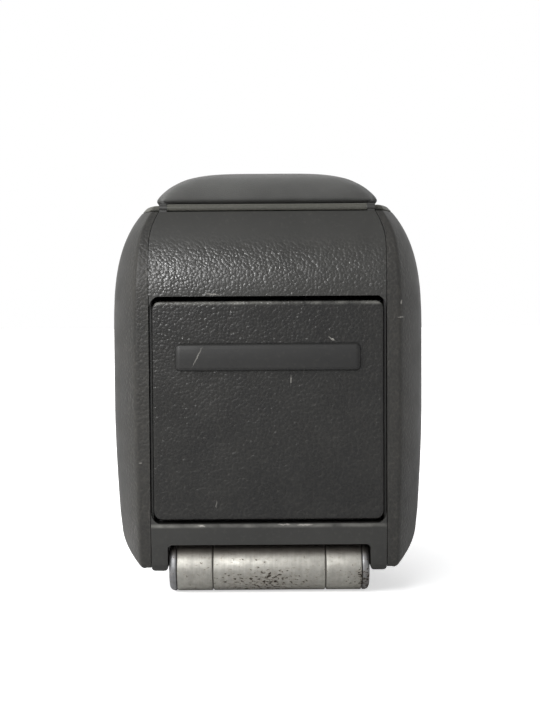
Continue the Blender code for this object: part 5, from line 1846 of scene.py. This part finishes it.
@dataclass(frozen=True)
class Studio:
    """White surroundings, a pale floor and plain light, in metres of the frame."""

    floor_z: float = -0.0014
    floor_half: float = 6.0
    floor_glow: float = 0.55
    ambient: float = 0.34
    suns: tuple[SunLight, ...] = (
        SunLight("left_light", 88.0, 22.0, 0.8, 35.0),
        SunLight("front_light", 30.0, 58.0, 0.22, 30.0),
        SunLight("right_light", -92.0, 20.0, 0.05, 40.0),
        SunLight("far_light", 170.0, 42.0, 0.42, 40.0),
    )
    # The hood's lamp makes the highlight on the roll of the hood and leaves the matt light alone
    boxes: tuple[SoftBox, ...] = (
        SoftBox("hood_lamp", (-0.30, -0.84, 0.46), (-0.03, -0.055, 0.19), 0.12, 6.0, False),
        SoftBox("left_lamp", (-0.42, -0.45, 0.35), (0.0, -0.055, 0.1), 0.25, 1.2),
    )

    def world(self) -> None:
        """Makes the surroundings white to the eye and to gloss, and gentle as light."""
        world = bpy.data.worlds.new("white_surroundings")
        world.use_nodes = True
        bpy.context.scene.world = world
        tree = world.node_tree
        tree.nodes.clear()
        rays = add_node(tree, "ShaderNodeLightPath").outputs
        seen = rays["Is Camera Ray"]
        for kind in ("Is Transmission Ray", "Is Glossy Ray"):
            seen = add_node(tree, "ShaderNodeMath", {0: seen, 1: rays[kind]}, operation="MAXIMUM").outputs[0]
        shades = [
            add_node(tree, "ShaderNodeBackground", {"Color": linear(code), "Strength": strength}).outputs[0]
            for code, strength in (("fafafc", self.ambient), ("ffffff", 1.0))
        ]
        mixed = add_node(tree, "ShaderNodeMixShader", {0: seen, 1: shades[0], 2: shades[1]}).outputs[0]
        add_node(tree, "ShaderNodeOutputWorld", {0: mixed})

    def floor(self) -> None:
        """Builds the pale floor, which keeps the object's shadow and glows for the camera alone."""
        made = bpy.data.materials.new("matt_white_floor")
        made.use_nodes = True
        tree = made.node_tree
        tree.nodes.clear()
        seen = add_node(tree, "ShaderNodeLightPath").outputs["Is Camera Ray"]
        glowing = {0: seen, 1: self.floor_glow}
        lift = add_node(tree, "ShaderNodeMath", glowing, operation="MULTIPLY").outputs[0]
        matt = add_node(tree, "ShaderNodeBsdfDiffuse", {"Color": linear("f2f2f2")}).outputs[0]
        glow = add_node(tree, "ShaderNodeEmission", {"Color": linear("ffffff"), "Strength": lift}).outputs[0]
        both = add_node(tree, "ShaderNodeAddShader", {0: matt, 1: glow}).outputs[0]
        add_node(tree, "ShaderNodeOutputMaterial", {0: both})
        bm = bmesh.new()
        bmesh.ops.create_grid(bm, x_segments=4, y_segments=4, size=self.floor_half)
        bmesh.ops.translate(bm, vec=(0, 0, self.floor_z), verts=bm.verts)
        mesh = bpy.data.meshes.new("studio_floor")
        bm.to_mesh(mesh)
        bm.free()
        mesh.materials.append(made)
        add_object("studio_floor", mesh)

    def build(self) -> None:
        """Builds the surroundings, the floor and the lights."""
        self.world()
        self.floor()
        for lamp in self.suns + self.boxes:
            lamp.build()


@dataclass(frozen=True)
class PhotoCamera:
    """The camera at the photograph's viewing angle, for a frame of 540 by 720."""

    place: Point = (0.0012, -0.8065, 0.174)
    down: float = 2.88
    roll: float = 0.38
    lens: float = 64.65
    sensor: float = 36.0
    clip_start: float = 0.01

    def build(self) -> None:
        """Builds the camera and makes it the scene's."""
        data = bpy.data.cameras.new("photo_camera")
        data.lens = self.lens
        data.sensor_width = self.sensor
        data.clip_start = self.clip_start
        made = add_object("photo_camera", data)
        tilt = Matrix.Rotation(math.radians(90.0 - self.down), 4, "X")
        roll = Matrix.Rotation(math.radians(-self.roll), 4, "Z")
        made.matrix_world = Matrix.Translation(self.place) @ tilt @ roll
        bpy.context.scene.camera = made


def main() -> None:
    """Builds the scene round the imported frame."""
    logging.basicConfig(level=logging.INFO, format="%(name)s: %(message)s")
    for old in list(bpy.data.objects):
        bpy.data.objects.remove(old)
    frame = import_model()
    finishes = Finishes()
    form = ShellForm()
    CheekShells(form, finishes).build()
    RearFrame(form, finishes).build()
    FrontCover(form, finishes).build()
    FlapDoor(form, finishes).build()
    HingeBarrel(finishes).build()
    Lid(form, finishes).build()
    Fasteners(finishes).build()
    CarriedNodes(finishes).build(frame["nodes"])
    Studio().build()
    PhotoCamera().build()
    bpy.context.scene.view_settings.view_transform = "Standard"
    bpy.context.view_layer.update()


if __name__ == "__main__":
    main()
